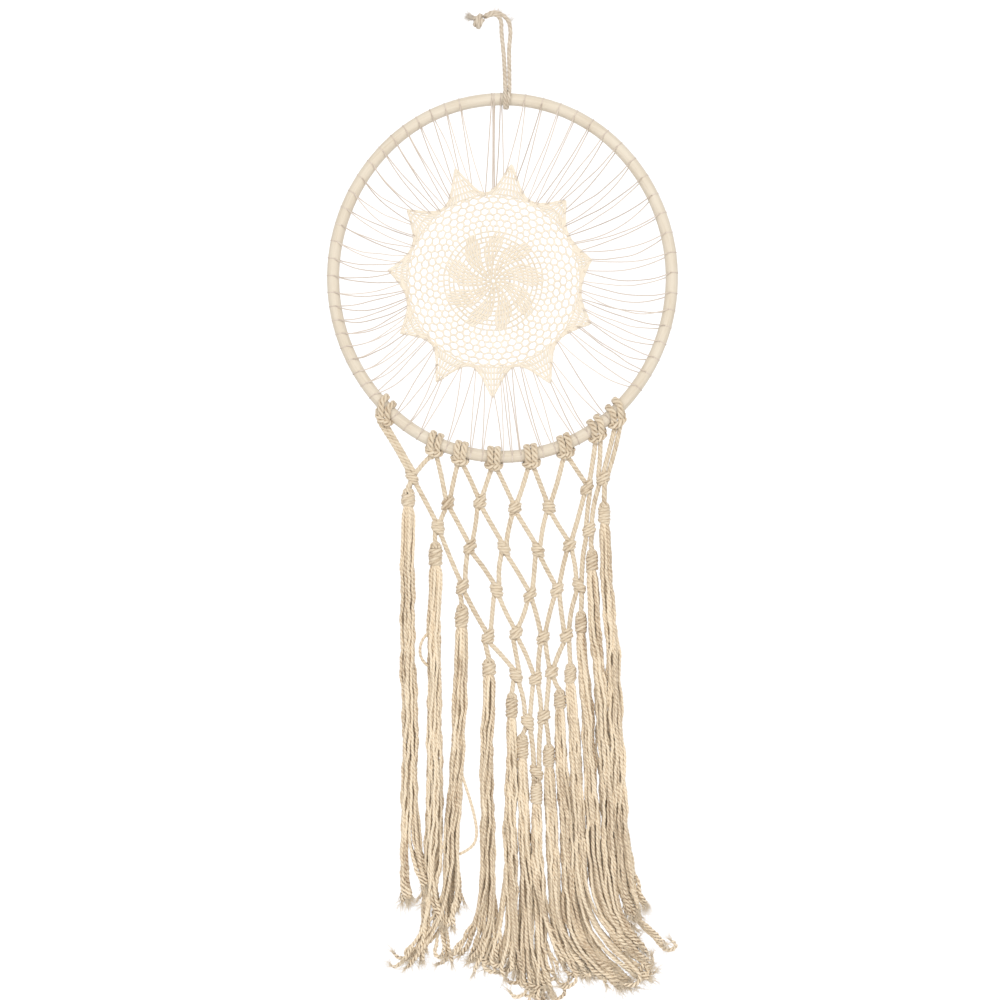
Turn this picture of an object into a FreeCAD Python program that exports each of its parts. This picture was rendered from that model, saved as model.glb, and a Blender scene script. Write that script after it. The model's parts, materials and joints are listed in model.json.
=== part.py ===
"""Macrame dream catcher: a hanging cord, a hoop with a crocheted doily laced into it, a knotted net and tassels.

Millimetres, +Z up, front towards -Y. The origin is the centre of the hanging eye.
"""
import FreeCAD, Part
import math
import os

V = FreeCAD.Vector

# ---------------------------------------------------------------- driving dimensions
HOOP_TUBE_R = 6.0
HOOP_HALF_WIDTH = 164.6
HOOP_HALF_HEIGHT = 173.8
HOOP_CENTRE = V(-3.4, 0, -242.0)

HANGER_CORD_D = 4.0
HANGER_HITCH_X = 1.3
HITCH_CLEARANCE = 0.4
ARC_SHARE = 0.45           # share of the shorter run that each bend's arc takes

# shares of the cord's diameter, then of the ring's radius
HITCH_HALF_PITCH = 0.475
SIDE_BY_SIDE = 0.54
HITCH_BAR_FRONT = 0.86
HITCH_BAR_DROP = 0.62
HITCH_BAR_LEAN = 0.5       # how far the bar leans from the hoop's outward direction to straight down, as a share

NET_CORD_D = 4.5
KNOT_HALF_WIDTH = 6.5
KNOT_HALF_DEPTH = 5.4
KNOT_HALF_HEIGHT = 6.6
KNOT_CORE_WIDE = 0.86      # shares of the knot's half sizes
KNOT_CORE_TALL = 0.96
KNOT_BAND_R = 0.36
KNOT_BAND_RISE = 0.16
KNOT_BAND_FALL = 0.22
KNOT_BAND_TILT = 24.0
STRAND_OFFSET = 2.6
OUTER_STRAND_OFFSET = 4.0
TIP_STRAND_OFFSET = 2.4
DOUBLED_SHARE = 0.6        # how near the knot's middle the doubled cords of the outer tassels leave
STRAND_INSET = 6.5
STRAND_CLEARANCE = 0.4
JOINT_GAP = 0.6

DOILY_CENTRE = V(-12.3, 0, -244.9)
DOILY_THICKNESS = 1.2
DOILY_VALLEY_R = 86.0
DOILY_SCALLOP = 0.24       # share of a point's height that is left halfway to the valley
# point angle in degrees and reach in millimetres, one pair for each of the doily's eleven points
DOILY_POINTS = [
    (12.2, 98.0), (48.1, 106.0), (81.1, 115.5), (108.7, 116.5), (140.5, 109.0), (174.2, 103.0),
    (209.5, 104.0), (240.6, 113.5), (269.6, 114.5), (299.2, 114.5), (336.4, 104.0),
]

THREAD_D = 0.9
THREAD_PLAY = 0.1
THREAD_DOILY_GAP = 0.4
THREAD_END_GAP = 1.0
THREAD_TURN_PITCH = 1.4
THREAD_END_OFFSET = 0.6    # share of its diameter that the thread stands off the doily's middle plane
# first angle, last angle and number of the thread's turns on the hoop, as directions of the hoop's outward normal
THREAD_GROUPS = [
    (1.6, 82.2, 14), (90.7, 90.7, 1), (93.0, 93.8, 2), (105.2, 179.4, 15), (184.5, 219.0, 9),
    (228.6, 239.6, 3), (250.0, 250.0, 1), (258.8, 263.0, 2), (270.4, 276.6, 3), (284.4, 288.8, 2),
    (297.3, 301.6, 2), (310.4, 310.4, 1), (324.2, 355.4, 7),
]

CORD_HITCH_ANGLES = [223.4, 245.1, 254.9, 267.0, 280.1, 293.0, 305.9, 314.9]

NET_KNOTS = [
    [(-91.4, -435.5), (-56.4, -460.7), (-25.3, -459.8), (8.7, -465.6), (41.8, -464.6), (78.7, -446.1),
     (94.3, -437.4)],
    [(-66.1, -484.1), (-35.0, -503.5), (-1.9, -504.5), (31.1, -506.9), (61.7, -501.6), (80.7, -487.0)],
    [(-42.3, -541.9), (-9.2, -545.3), (23.3, -550.2), (49.6, -545.3), (71.0, -541.4)],
    [(-17.5, -591.0), (9.7, -587.1), (36.0, -592.0), (58.8, -590.0)],
    [(9.7, -628.4), (28.7, -631.8), (44.4, -625.5)],
    [(21.0, -673.6), (36.6, -668.0)],
    [(29.6, -722.2)],
]
# where the three cords enter the first row's two outer knots, sideways from the knot's middle
FIRST_LEFT_TOPS = (-3.8, 0.9, 5.6)
FIRST_RIGHT_TOPS = (-4.3, 0.6, 5.4)
# how far the outermost cords bow away from the tassels beside them, and the last row that does so
LEFT_BOW = 0.96
RIGHT_BOW = 2.4
LAST_BOWED_ROW = 3

# name: (x of the wrap, top of the wrap, height of the wrap, turns of cord, x at FAN_Z, lowest point of the yarns)
TASSELS = {
    "left_1": (-95.0, -447.5, 18.0, 3, -93.0, -842.0),
    "left_2": (-68.5, -500.0, 23.0, 4, -70.5, -870.0),
    "left_3": (-43.0, -560.5, 22.0, 4, -55.0, -905.0),
    "left_4": (-16.5, -613.0, 17.0, 3, -17.5, -912.0),
    "left_5": (5.6, -646.5, 24.0, 5, 4.0, -920.0),
    "left_6": (16.0, -686.5, 23.0, 5, 19.5, -925.0),
    "tip": (29.6, -731.0, 23.0, 5, 34.5, -928.0),
    "right_6": (41.6, -696.5, 21.0, 5, 49.0, -926.0),
    "right_5": (52.4, -643.0, 19.0, 4, 63.0, -930.0),
    "right_4": (62.6, -618.0, 18.0, 4, 77.5, -930.0),
    "right_3": (72.9, -567.0, 22.0, 4, 92.0, -925.0),
    "right_2": (83.6, -507.0, 22.0, 4, 106.5, -900.0),
    "right_1": (95.5, -461.0, 21.0, 4, 121.0, -858.0),
}
FAN_Z = -900.0
WRAP_R_WIDE = 6.0
WRAP_R_NARROW = 5.2
WRAP_GROOVE = 0.28         # share of the pitch that the grooves between the turns are deep
YARN_D = 3.0

TASSEL_WIDEN = 0.0058      # how much the half width grows for each millimetre down
TASSEL_NECK_INSET = 0.9
TASSEL_NECK_DEPTH_INSET = 0.6
TASSEL_SHOULDER_DROP = 22.0
TASSEL_SHOULDER_DEPTH = 7.6
TASSEL_FOOT_RISE = 18.0
TASSEL_FOOT_DEPTH = 9.4
TASSEL_END_INSET = 1.6
TASSEL_END_DEPTH = 7.4

# centre lines of the free cords, from the end that leaves the object
HANGER_LEFT_ROUTE = [
    (-0.8, 0, -57.4), (-1.4, 0, -36.0), (-2.9, -0.4, -17.0), (-4.6, -1.4, -3.0),
    (-4.2, -2.2, 6.8), (-7.4, -2.2, 12.8), (-13.2, -2.2, 14.4), (-19.5, -2.2, 11.6),
]
HANGER_RIGHT_ROUTE = [
    (3.4, 0, -57.4), (3.2, 0, -36.0), (2.9, 0.4, -17.0), (4.8, 1.4, -3.0),
    (2.9, 2.2, 8.4), (-3.2, 2.2, 14.2), (-10.5, 2.2, 17.2), (-17.2, 2.2, 15.4), (-21.6, 2.2, 11.8),
]
LOOSE_YARN_ROUTES = {
    "loose_yarn_1": [(-74.3, 0, -586.0), (-80.5, 0, -591.0), (-84.4, 0, -603.0), (-81.5, 0, -615.0),
                     (-74.4, 0, -620.0)],
    "loose_yarn_2": [(-43.0, 0, -724.0), (-37.5, 0, -741.0), (-31.0, 0, -762.0), (-27.6, 0, -783.0),
                     (-32.5, 0, -796.5), (-45.2, 0, -802.0)],
}

HANGER_KNOT_CENTRE = V(-25.8, 0, 7.8)
HANGER_KNOT_TILT = 25.0
HANGER_KNOT_HALF_WIDTH = 6.4
HANGER_KNOT_HALF_DEPTH = 5.4
HANGER_KNOT_HALF_HEIGHT = 7.6
TAIL_START = V(-30.5, 0, 9.4)
TAIL_END = V(-37.2, 0, 12.4)
TAIL_R_START = 2.6
TAIL_R_END = 3.6


# ---------------------------------------------------------------- helpers
def save(node, shape):
    """Write one node and print its size."""
    shape.exportStep("parts/" + node + ".step")
    box = shape.BoundBox
    print(f"{node}: {len(shape.Solids)} solids, {shape.Volume:.0f} mm3, z {box.ZMin:.1f} to {box.ZMax:.1f}")


def unit(vector):
    return V(vector).normalize()


def on_run(corner, neighbour, distance):
    """The point on the run from a corner to its neighbour, a distance from the corner."""
    return corner + unit(neighbour - corner) * distance


def cord_wire(points):
    """Straight runs joined by tangent arcs, each as large as its two runs allow. Gives the wire and its radii."""
    edges = []
    radii = []
    start = points[0]
    for before, corner, after in zip(points, points[1:], points[2:]):
        half_turn = (corner - before).getAngle(after - corner) / 2
        shorter = min((corner - before).Length, (after - corner).Length)
        tangent = ARC_SHARE * shorter
        radius = tangent / math.tan(half_turn)
        arc_start = on_run(corner, before, tangent)
        arc_end = on_run(corner, after, tangent)
        bisector = unit(unit(before - corner) + unit(after - corner))
        apex = corner + bisector * (radius / math.cos(half_turn) - radius)
        edges.append(Part.LineSegment(start, arc_start).toShape())
        edges.append(Part.Arc(arc_start, apex, arc_end).toShape())
        radii.append(radius)
        start = arc_end
    edges.append(Part.LineSegment(start, points[-1]).toShape())
    return Part.Wire(edges), radii


def cord(points, diameter, name=None):
    """A round cord along a route. A named cord's length, volume and bend radii are printed."""
    route = [V(*p) for p in points]
    wire, radii = cord_wire(route)
    section = Part.Face(Part.Wire(Part.Circle(route[0], route[1] - route[0], diameter / 2).toShape()))
    solid = wire.makePipe(section)
    if name:
        expected = math.pi * diameter ** 2 / 4 * wire.Length
        listed = ", ".join(f"{r:.1f}" for r in radii)
        print(f"{name}: length {wire.Length:.1f}, volume {solid.Volume / expected:.4f} of expected, radii {listed}")
    return solid


def rod(start, end, diameter):
    """A straight length of cord."""
    return Part.makeCylinder(diameter / 2, (end - start).Length, start, end - start)


def bead(start, end, diameter):
    """A straight length of cord with round ends beyond both of its places."""
    radius = diameter / 2
    length = (end - start).Length
    slant = radius * math.sqrt(0.5)
    edges = [
        Part.Arc(V(0, 0, -radius), V(slant, 0, -slant), V(radius, 0, 0)).toShape(),
        Part.LineSegment(V(radius, 0, 0), V(radius, 0, length)).toShape(),
        Part.Arc(V(radius, 0, length), V(slant, 0, length + slant), V(0, 0, length + radius)).toShape(),
        Part.LineSegment(V(0, 0, length + radius), V(0, 0, -radius)).toShape(),
    ]
    solid = Part.Face(Part.Wire(edges)).revolve(V(0, 0, 0), V(0, 0, 1), 360)
    solid.Placement = FreeCAD.Placement(start, FreeCAD.Rotation(V(0, 0, 1), end - start))
    return solid


def turned(shape, centre, axis, degrees):
    """A copy of a shape turned about an axis through a centre."""
    copy = shape.copy()
    copy.rotate(centre, axis, degrees)
    return copy


def joined(pieces):
    """One solid made of overlapping pieces, which are fused one at a time."""
    solid = pieces[0]
    for piece in pieces[1:]:
        solid = solid.fuse(piece)
    if len(solid.Solids) != 1 or solid.Volume < max(piece.Volume for piece in pieces):
        raise ValueError("the pieces don't make one solid")
    return solid.Solids[0]


# ---------------------------------------------------------------- hoop
def hoop_arcs():
    """The oval centre line as four tangent arcs: for each, its centre, radius and first normal direction."""
    step = (HOOP_HALF_HEIGHT - HOOP_HALF_WIDTH) / (2 - math.sqrt(2))
    side_radius = HOOP_HALF_WIDTH + step
    end_radius = HOOP_HALF_HEIGHT - step
    return [
        (HOOP_CENTRE + V(-step, 0, 0), side_radius, -45),
        (HOOP_CENTRE + V(0, 0, step), end_radius, 45),
        (HOOP_CENTRE + V(step, 0, 0), side_radius, 135),
        (HOOP_CENTRE + V(0, 0, -step), end_radius, 225),
    ]


def outward(degrees):
    angle = math.radians(degrees)
    return V(math.cos(angle), 0, math.sin(angle))


def hoop_point(degrees):
    """The point of the hoop's centre line whose outward normal has this direction."""
    for centre, radius, first in hoop_arcs():
        if (degrees - first) % 360 < 90:
            return centre + outward(degrees) * radius
    raise ValueError(degrees)


def build_hoop():
    """The hoop's tube: four torus quarters in one solid."""
    quarters = []
    for centre, radius, first in hoop_arcs():
        start = centre + outward(first) * radius
        tangent = outward(first + 90)
        section = Part.Face(Part.Wire(Part.Circle(start, tangent, HOOP_TUBE_R).toShape()))
        quarters.append(section.revolve(centre, V(0, -1, 0), 90))
    return quarters[0].fuse(quarters[1:]).removeSplitter().Solids[0]


# ---------------------------------------------------------------- doily and web thread
def doily_outline():
    """The doily's outline, point by point: each tip, then the scalloped valley halfway to the next tip."""
    outline = []
    following = DOILY_POINTS[1:] + [(DOILY_POINTS[0][0] + 360, DOILY_POINTS[0][1])]
    for (angle, reach), (next_angle, next_reach) in zip(DOILY_POINTS, following):
        quarter = (next_angle - angle) / 4
        outline.append((angle, reach))
        outline.append((angle + quarter, DOILY_VALLEY_R + DOILY_SCALLOP * (reach - DOILY_VALLEY_R)))
        outline.append((angle + 2 * quarter, DOILY_VALLEY_R))
        outline.append((angle + 3 * quarter, DOILY_VALLEY_R + DOILY_SCALLOP * (next_reach - DOILY_VALLEY_R)))
    return outline


def doily_corner(angle, reach, y=0.0):
    return DOILY_CENTRE + outward(angle) * reach + V(0, y, 0)


def doily_edge(angle):
    """How far the doily reaches in one direction from its centre."""
    outline = doily_outline()
    closed = outline + [(outline[0][0] + 360, outline[0][1])]
    if angle < closed[0][0]:
        angle += 360
    for (a, ra), (b, rb) in zip(closed, closed[1:]):
        if a <= angle <= b:
            span = math.radians(b - a)
            part = math.radians(angle - a)
            return ra * rb * math.sin(span) / (ra * math.sin(part) + rb * math.sin(span - part))
    raise ValueError(angle)


def build_doily():
    """The crocheted doily as a thin plate with its eleven points."""
    corners = [doily_corner(angle, reach, -DOILY_THICKNESS / 2) for angle, reach in doily_outline()]
    return Part.Face(Part.makePolygon(corners + corners[:1])).extrude(V(0, DOILY_THICKNESS, 0))


def thread_angles():
    """The hoop's normal direction at every turn of the web thread, going round the hoop."""
    angles = []
    for first, last, count in THREAD_GROUPS:
        step = (last - first) / max(count - 1, 1)
        angles += [first + step * i for i in range(count)]
    return angles


def thread_turn(degrees, low_angle, high_angle):
    """One turn of the web thread: from the doily over the front of the hoop, round it, and back to the doily.

    Its ends meet the doily's edge at two angles about the doily's centre.
    """
    middle = hoop_point(degrees)
    along = outward(degrees + 90)
    half = HOOP_TUBE_R + THREAD_D / 2 + THREAD_PLAY

    def corner(side_out, side_back):
        offset = outward(degrees) * (side_out * half) + V(0, side_back * half, 0)
        return middle + offset - along * (side_back * THREAD_TURN_PITCH / 2)

    def doily_end(angle, side_back):
        reach = doily_edge(angle % 360) + THREAD_DOILY_GAP
        return doily_corner(angle, reach, side_back * THREAD_D * THREAD_END_OFFSET)

    return cord([doily_end(high_angle, -1), corner(-1, -1), corner(1, -1),
                 corner(1, 1), corner(-1, 1), doily_end(low_angle, 1)], THREAD_D)


def build_web_thread():
    """Every turn of the web thread, each a solid of its own. Neighbours meet halfway along the doily's edge."""
    angles = thread_angles()
    aims = []
    for degrees in angles:
        to_hoop = hoop_point(degrees) - DOILY_CENTRE
        aims.append(math.degrees(math.atan2(to_hoop.z, to_hoop.x)) % 360)
    before = [aims[-1] - 360] + aims[:-1]
    after = aims[1:] + [aims[0] + 360]
    return Part.makeCompound([
        thread_turn(degrees, (low + aim + THREAD_END_GAP) / 2, (aim + high - THREAD_END_GAP) / 2)
        for degrees, low, aim, high in zip(angles, before, aims, after)
    ])


# ---------------------------------------------------------------- hitches and knots
def hitch(degrees, diameter, bar):
    """A cow hitch: two turns side by side round the hoop, joined by a short bar below at the front."""
    middle = hoop_point(degrees)
    along = outward(degrees + 90)
    ring_r = HOOP_TUBE_R + HITCH_CLEARANCE + diameter / 2
    half_pitch = diameter * HITCH_HALF_PITCH
    pieces = [Part.makeTorus(ring_r, diameter / 2, middle + along * (s * half_pitch), along) for s in (-1, 1)]
    if bar:
        drop = ring_r * HITCH_BAR_DROP
        shift = drop * math.tan(math.radians((270 - degrees) * HITCH_BAR_LEAN))
        low_front = middle + V(0, -ring_r * HITCH_BAR_FRONT, 0) + outward(degrees) * drop + along * shift
        pieces.append(bead(low_front - along * diameter, low_front + along * diameter, diameter))
    return joined(pieces)


def overhand_knot(centre, half_width, half_depth, half_height):
    """A pulled-tight overhand knot: a full core with two crossing bands of cord round it."""
    core = Part.makeSphere(1.0)
    scale = FreeCAD.Matrix()
    scale.scale(half_width * KNOT_CORE_WIDE, half_depth * KNOT_CORE_WIDE, half_height * KNOT_CORE_TALL)
    core = core.transformGeometry(scale)
    band_r = half_width * KNOT_BAND_R
    band = Part.makeTorus(half_width - band_r, band_r, V(0, 0, 0), V(0, 0, 1))
    upper = turned(band, V(0, 0, 0), V(0, 1, 0), KNOT_BAND_TILT)
    lower = turned(band, V(0, 0, 0), V(0, 1, 0), -KNOT_BAND_TILT)
    upper.translate(V(0, 0, half_height * KNOT_BAND_RISE))
    lower.translate(V(0, 0, -half_height * KNOT_BAND_FALL))
    solid = joined([core, upper, lower])
    solid.translate(centre)
    return solid


def knot_row(row):
    return Part.makeCompound([
        overhand_knot(V(x, 0, z), KNOT_HALF_WIDTH, KNOT_HALF_DEPTH, KNOT_HALF_HEIGHT) for x, z in NET_KNOTS[row]
    ])


# ---------------------------------------------------------------- net
def strand(start, end, bow=0.0):
    """A net cord between two places. A bow moves its middle sideways, clear of what hangs beside it."""
    if not bow:
        return rod(start, end, NET_CORD_D)
    middle = (start + end) / 2 + V(bow, 0, 0)
    return cord([start, middle, end], NET_CORD_D)


def hitch_end(index, side):
    """Where a net cord leaves a cord hitch: straight below the hoop, and beside the hitch's other cord."""
    degrees = CORD_HITCH_ANGLES[index]
    lean = math.radians(abs(270 - degrees))
    aside = NET_CORD_D * SIDE_BY_SIDE
    clear = HOOP_TUBE_R + HITCH_CLEARANCE + NET_CORD_D + STRAND_CLEARANCE
    drop = clear / math.cos(lean) + aside * math.tan(lean)
    return hoop_point(degrees) + V(side * aside, 0, -drop)


def knot_top(row, index, offset):
    x, z = NET_KNOTS[row][index]
    return V(x + offset, 0, z + STRAND_INSET)


def knot_foot(row, index, offset, y=0.0):
    x, z = NET_KNOTS[row][index]
    return V(x + offset, y, z - STRAND_INSET)


def wrap_top(name, offset=0.0, y=0.0):
    """Just above a tassel's wrap, where a net cord meets it."""
    x, top = TASSELS[name][:2]
    return V(x + offset, y, top + JOINT_GAP)


def first_row_strands():
    """From the eight hitches to the seven knots of the first row: the outer knots take three cords."""
    last = len(NET_KNOTS[0]) - 1
    left_starts = (hitch_end(0, -1), hitch_end(0, 1), hitch_end(1, -1))
    right_starts = (hitch_end(last, 1), hitch_end(last + 1, -1), hitch_end(last + 1, 1))
    strands = []
    for knot, starts, offsets in ((0, left_starts, FIRST_LEFT_TOPS), (last, right_starts, FIRST_RIGHT_TOPS)):
        for start, offset in zip(starts, offsets):
            strands.append(strand(start, knot_top(0, knot, offset)))
    for index in range(1, last):
        strands.append(strand(hitch_end(index, 1), knot_top(0, index, -STRAND_OFFSET)))
        strands.append(strand(hitch_end(index + 1, -1), knot_top(0, index, STRAND_OFFSET)))
    return strands


def row_strands(row):
    """From one row of knots to the next, and from its two outer knots to their tassels."""
    last = len(NET_KNOTS[row - 1]) - 1
    outer_offset = OUTER_STRAND_OFFSET if row == 1 else STRAND_OFFSET
    strands = []
    for index in range(last):
        leave_left = outer_offset if index == 0 else STRAND_OFFSET
        leave_right = outer_offset if index == last - 1 else STRAND_OFFSET
        left_bow = LEFT_BOW if index == 0 else 0.0
        right_bow = -RIGHT_BOW if index == last - 1 and row <= LAST_BOWED_ROW else 0.0
        strands.append(strand(knot_foot(row - 1, index, leave_left),
                              knot_top(row, index, -STRAND_OFFSET), left_bow))
        strands.append(strand(knot_foot(row - 1, index + 1, -leave_right),
                              knot_top(row, index, STRAND_OFFSET), right_bow))
    for side, index, offset in (("left", 0, -STRAND_OFFSET), ("right", last, STRAND_OFFSET)):
        name = f"{side}_{row}"
        if row == 1:
            for y in (-NET_CORD_D * SIDE_BY_SIDE, NET_CORD_D * SIDE_BY_SIDE):
                strands.append(strand(knot_foot(0, index, offset * DOUBLED_SHARE, y), wrap_top(name, 0, y)))
        else:
            strands.append(strand(knot_foot(row - 1, index, offset), wrap_top(name)))
    return strands


def tip_strands():
    """The last knot's two cords, down to the tassel at the tip."""
    row = len(NET_KNOTS) - 1
    offsets = (-TIP_STRAND_OFFSET, TIP_STRAND_OFFSET)
    return [strand(knot_foot(row, 0, offset), wrap_top("tip", offset)) for offset in offsets]


# ---------------------------------------------------------------- tassels
def wrap_radius(name):
    wide = name in ("left_1", "left_2", "left_3", "left_4")
    return WRAP_R_WIDE if wide else WRAP_R_NARROW


def build_wrap(name):
    """A gathering wrap: a domed top over several turns of cord. The dome's centre is the tassel's pivot."""
    x, top, height, turns, _, _ = TASSELS[name]
    radius = wrap_radius(name)
    pitch = (height - radius) / turns
    groove_r = radius - pitch * WRAP_GROOVE
    points = [V(groove_r, 0, top - radius - pitch * i) for i in range(turns + 1)]
    crowns = [V(radius, 0, top - radius - pitch * (i + 0.5)) for i in range(turns)]
    dome_rim = V(groove_r, 0, top - radius)
    dome_middle = V(groove_r * math.sin(math.pi / 4), 0, top - radius + radius * math.cos(math.pi / 4))
    edges = [
        Part.LineSegment(V(0, 0, top - height), points[-1]).toShape(),
        Part.LineSegment(V(0, 0, top), V(0, 0, top - height)).toShape(),
        Part.Arc(V(0, 0, top), dome_middle, dome_rim).toShape(),
    ]
    for i in range(turns):
        edges.append(Part.Arc(points[i], crowns[i], points[i + 1]).toShape())
    profile = Part.Face(Part.Wire(Part.__sortEdges__(edges)))
    solid = profile.revolve(V(0, 0, 0), V(0, 0, 1), 360)
    solid.translate(V(x, 0, 0))
    return solid


def build_tassel(name):
    """A tassel's bundle of yarns as one oval solid that leans and widens downwards."""
    x, top, height, _, fan_x, bottom = TASSELS[name]
    start = top - height
    lean = (fan_x - x) / (start - FAN_Z)
    radius = wrap_radius(name)
    sections = []
    for z, inset, depth in (
        (start, TASSEL_NECK_INSET, radius - TASSEL_NECK_DEPTH_INSET),
        (start - TASSEL_SHOULDER_DROP, TASSEL_NECK_INSET, TASSEL_SHOULDER_DEPTH),
        (bottom + TASSEL_FOOT_RISE, 0.0, TASSEL_FOOT_DEPTH),
        (bottom, TASSEL_END_INSET, TASSEL_END_DEPTH),
    ):
        drop = start - z
        half_width = radius - inset + TASSEL_WIDEN * drop
        centre = V(x + lean * drop, 0, z)
        longer = max(half_width, depth)
        shorter = min(half_width, depth)
        ellipse = Part.Ellipse(centre, longer, shorter)
        if depth > half_width:
            ellipse.rotate(FreeCAD.Placement(centre, FreeCAD.Rotation(V(0, 0, 1), 90), V(0, 0, 0)))
        sections.append(Part.Wire(ellipse.toShape()))
    return Part.makeLoft(sections, True, True)


# ---------------------------------------------------------------- hanger
def build_hanger_knot():
    solid = overhand_knot(V(0, 0, 0), HANGER_KNOT_HALF_WIDTH, HANGER_KNOT_HALF_DEPTH, HANGER_KNOT_HALF_HEIGHT)
    solid = turned(solid, V(0, 0, 0), V(0, 1, 0), -HANGER_KNOT_TILT)
    solid.translate(HANGER_KNOT_CENTRE)
    return solid


def build_hanger_tail():
    """The two frayed cord ends beyond the hanger's knot, as one flared stub."""
    axis = TAIL_END - TAIL_START
    return Part.makeCone(TAIL_R_START, TAIL_R_END, axis.Length, TAIL_START, axis)


def main():
    os.makedirs("parts", exist_ok=True)
    save("hanger_cord", Part.makeCompound([
        cord(HANGER_LEFT_ROUTE, HANGER_CORD_D, "hanger left strand"),
        cord(HANGER_RIGHT_ROUTE, HANGER_CORD_D, "hanger right strand"),
    ]))
    save("hanger_knot", build_hanger_knot())
    save("hanger_tail", build_hanger_tail())
    hanger_angle = math.degrees(math.acos((HANGER_HITCH_X - HOOP_CENTRE.x) / hoop_arcs()[1][1]))
    save("hanger_hitch", hitch(hanger_angle, HANGER_CORD_D, False))
    save("hoop_ring", build_hoop())
    save("doily", build_doily())
    save("web_thread", build_web_thread())
    for index, degrees in enumerate(CORD_HITCH_ANGLES):
        save(f"cord_hitch_{index + 1}", hitch(degrees, NET_CORD_D, True))
    save("net_cords_row_1", Part.makeCompound(first_row_strands()))
    for row in range(1, len(NET_KNOTS)):
        save(f"net_cords_row_{row + 1}", Part.makeCompound(row_strands(row)))
    save(f"net_cords_row_{len(NET_KNOTS) + 1}", Part.makeCompound(tip_strands()))
    for row in range(len(NET_KNOTS)):
        save(f"net_knots_row_{row + 1}", knot_row(row))
    for name in TASSELS:
        save(f"gathering_wrap_{name}", build_wrap(name))
        save(f"tassel_{name}", build_tassel(name))
    for node, route in LOOSE_YARN_ROUTES.items():
        save(node, cord(route, YARN_D, node))


main()
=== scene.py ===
"""The looks of a macrame dream catcher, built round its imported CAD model.

Metres, +Z up, front towards -Y, like the CAD. Every soft piece is modelled as cord: plies that twist round a
centre line, which starts and ends where the CAD node that it stands for does.
"""
import json
import math

import bpy
import numpy as np
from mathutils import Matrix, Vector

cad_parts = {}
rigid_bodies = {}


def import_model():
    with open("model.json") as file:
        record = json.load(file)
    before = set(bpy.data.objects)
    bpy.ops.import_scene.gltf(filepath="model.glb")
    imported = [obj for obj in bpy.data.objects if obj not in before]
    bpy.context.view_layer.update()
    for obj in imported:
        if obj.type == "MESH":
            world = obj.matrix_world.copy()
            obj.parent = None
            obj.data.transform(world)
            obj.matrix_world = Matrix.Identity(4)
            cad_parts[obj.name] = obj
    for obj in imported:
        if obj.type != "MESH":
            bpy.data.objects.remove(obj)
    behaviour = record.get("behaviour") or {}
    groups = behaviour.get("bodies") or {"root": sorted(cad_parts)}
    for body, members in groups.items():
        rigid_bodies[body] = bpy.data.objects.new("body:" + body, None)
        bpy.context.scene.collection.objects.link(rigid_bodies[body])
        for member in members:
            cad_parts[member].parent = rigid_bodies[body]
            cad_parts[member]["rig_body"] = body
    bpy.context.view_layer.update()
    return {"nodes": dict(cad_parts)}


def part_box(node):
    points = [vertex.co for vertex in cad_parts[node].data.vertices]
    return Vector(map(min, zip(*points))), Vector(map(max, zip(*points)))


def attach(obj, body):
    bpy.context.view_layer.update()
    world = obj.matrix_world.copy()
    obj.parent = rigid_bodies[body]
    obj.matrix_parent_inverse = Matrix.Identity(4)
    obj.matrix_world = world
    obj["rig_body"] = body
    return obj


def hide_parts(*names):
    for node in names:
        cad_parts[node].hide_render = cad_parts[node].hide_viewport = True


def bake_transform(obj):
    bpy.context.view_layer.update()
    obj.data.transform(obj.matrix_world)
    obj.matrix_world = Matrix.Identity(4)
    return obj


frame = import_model()

MM = 0.001
FRONT = np.array([0.0, -1.0, 0.0])
UP = np.array([0.0, 0.0, 1.0])

# ---------------------------------------------------------------- camera
CAMERA_PLACE = (-0.0058, -2.7, -0.4578)
LENS = 100.0
SENSOR = 36.0

# ---------------------------------------------------------------- stage
WALL_Y = 1.0                 # behind the object at every pose
WALL_TOP = 1.6
FLOOR_Z = -1.4
LIGHT_SIZE = 4.0
LIGHT_AIM = np.array([0.0, 0.0, -0.45])
WORLD_LIGHT = 0.62

# ---------------------------------------------------------------- cords
HANGER_CORD_D = 0.0040
HANGER_ROPE_D = 0.0043       # the cords as they are modelled, a little fuller than their nominal sizes
NET_ROPE_D = 0.0049
YARN_D = 0.0031
THREAD_D = 0.0009
LAY = 2.7          # length of one turn of the plies, in cord diameters
YARN_LAY = 2.8
HANGER_LAY = 3.2
S_TWIST = -1.0
PROUD = 0.0190               # no loose fibre stands further forward or back than this

# centre lines of the free cords, from the end that leaves the object
HANGER_ROUTES = {
    "left": [
        (-0.0008, 0, -0.0574), (-0.0014, 0, -0.0360), (-0.0029, -0.0004, -0.0170), (-0.0046, -0.0014, -0.0030),
        (-0.0042, -0.0022, 0.0068), (-0.0074, -0.0022, 0.0128), (-0.0132, -0.0022, 0.0144),
        (-0.0195, -0.0022, 0.0116),
    ],
    "right": [
        (0.0034, 0, -0.0574), (0.0032, 0, -0.0360), (0.0029, 0.0004, -0.0170), (0.0048, 0.0014, -0.0030),
        (0.0029, 0.0022, 0.0084), (-0.0032, 0.0022, 0.0142), (-0.0105, 0.0022, 0.0172),
        (-0.0172, 0.0022, 0.0154), (-0.0216, 0.0022, 0.0118),
    ],
}
LOOSE_YARNS = {
    "loose_yarn_1": ("left_2", 0.0408, [
        (-0.0743, 0, -0.5860), (-0.0805, 0, -0.5910), (-0.0844, 0, -0.6030), (-0.0815, 0, -0.6150),
        (-0.0744, 0, -0.6200),
    ]),
    "loose_yarn_2": ("left_3", 0.0883, [
        (-0.0430, 0, -0.7240), (-0.0375, 0, -0.7410), (-0.0310, 0, -0.7620), (-0.0276, 0, -0.7830),
        (-0.0325, 0, -0.7965), (-0.0452, 0, -0.8020),
    ]),
}


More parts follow.
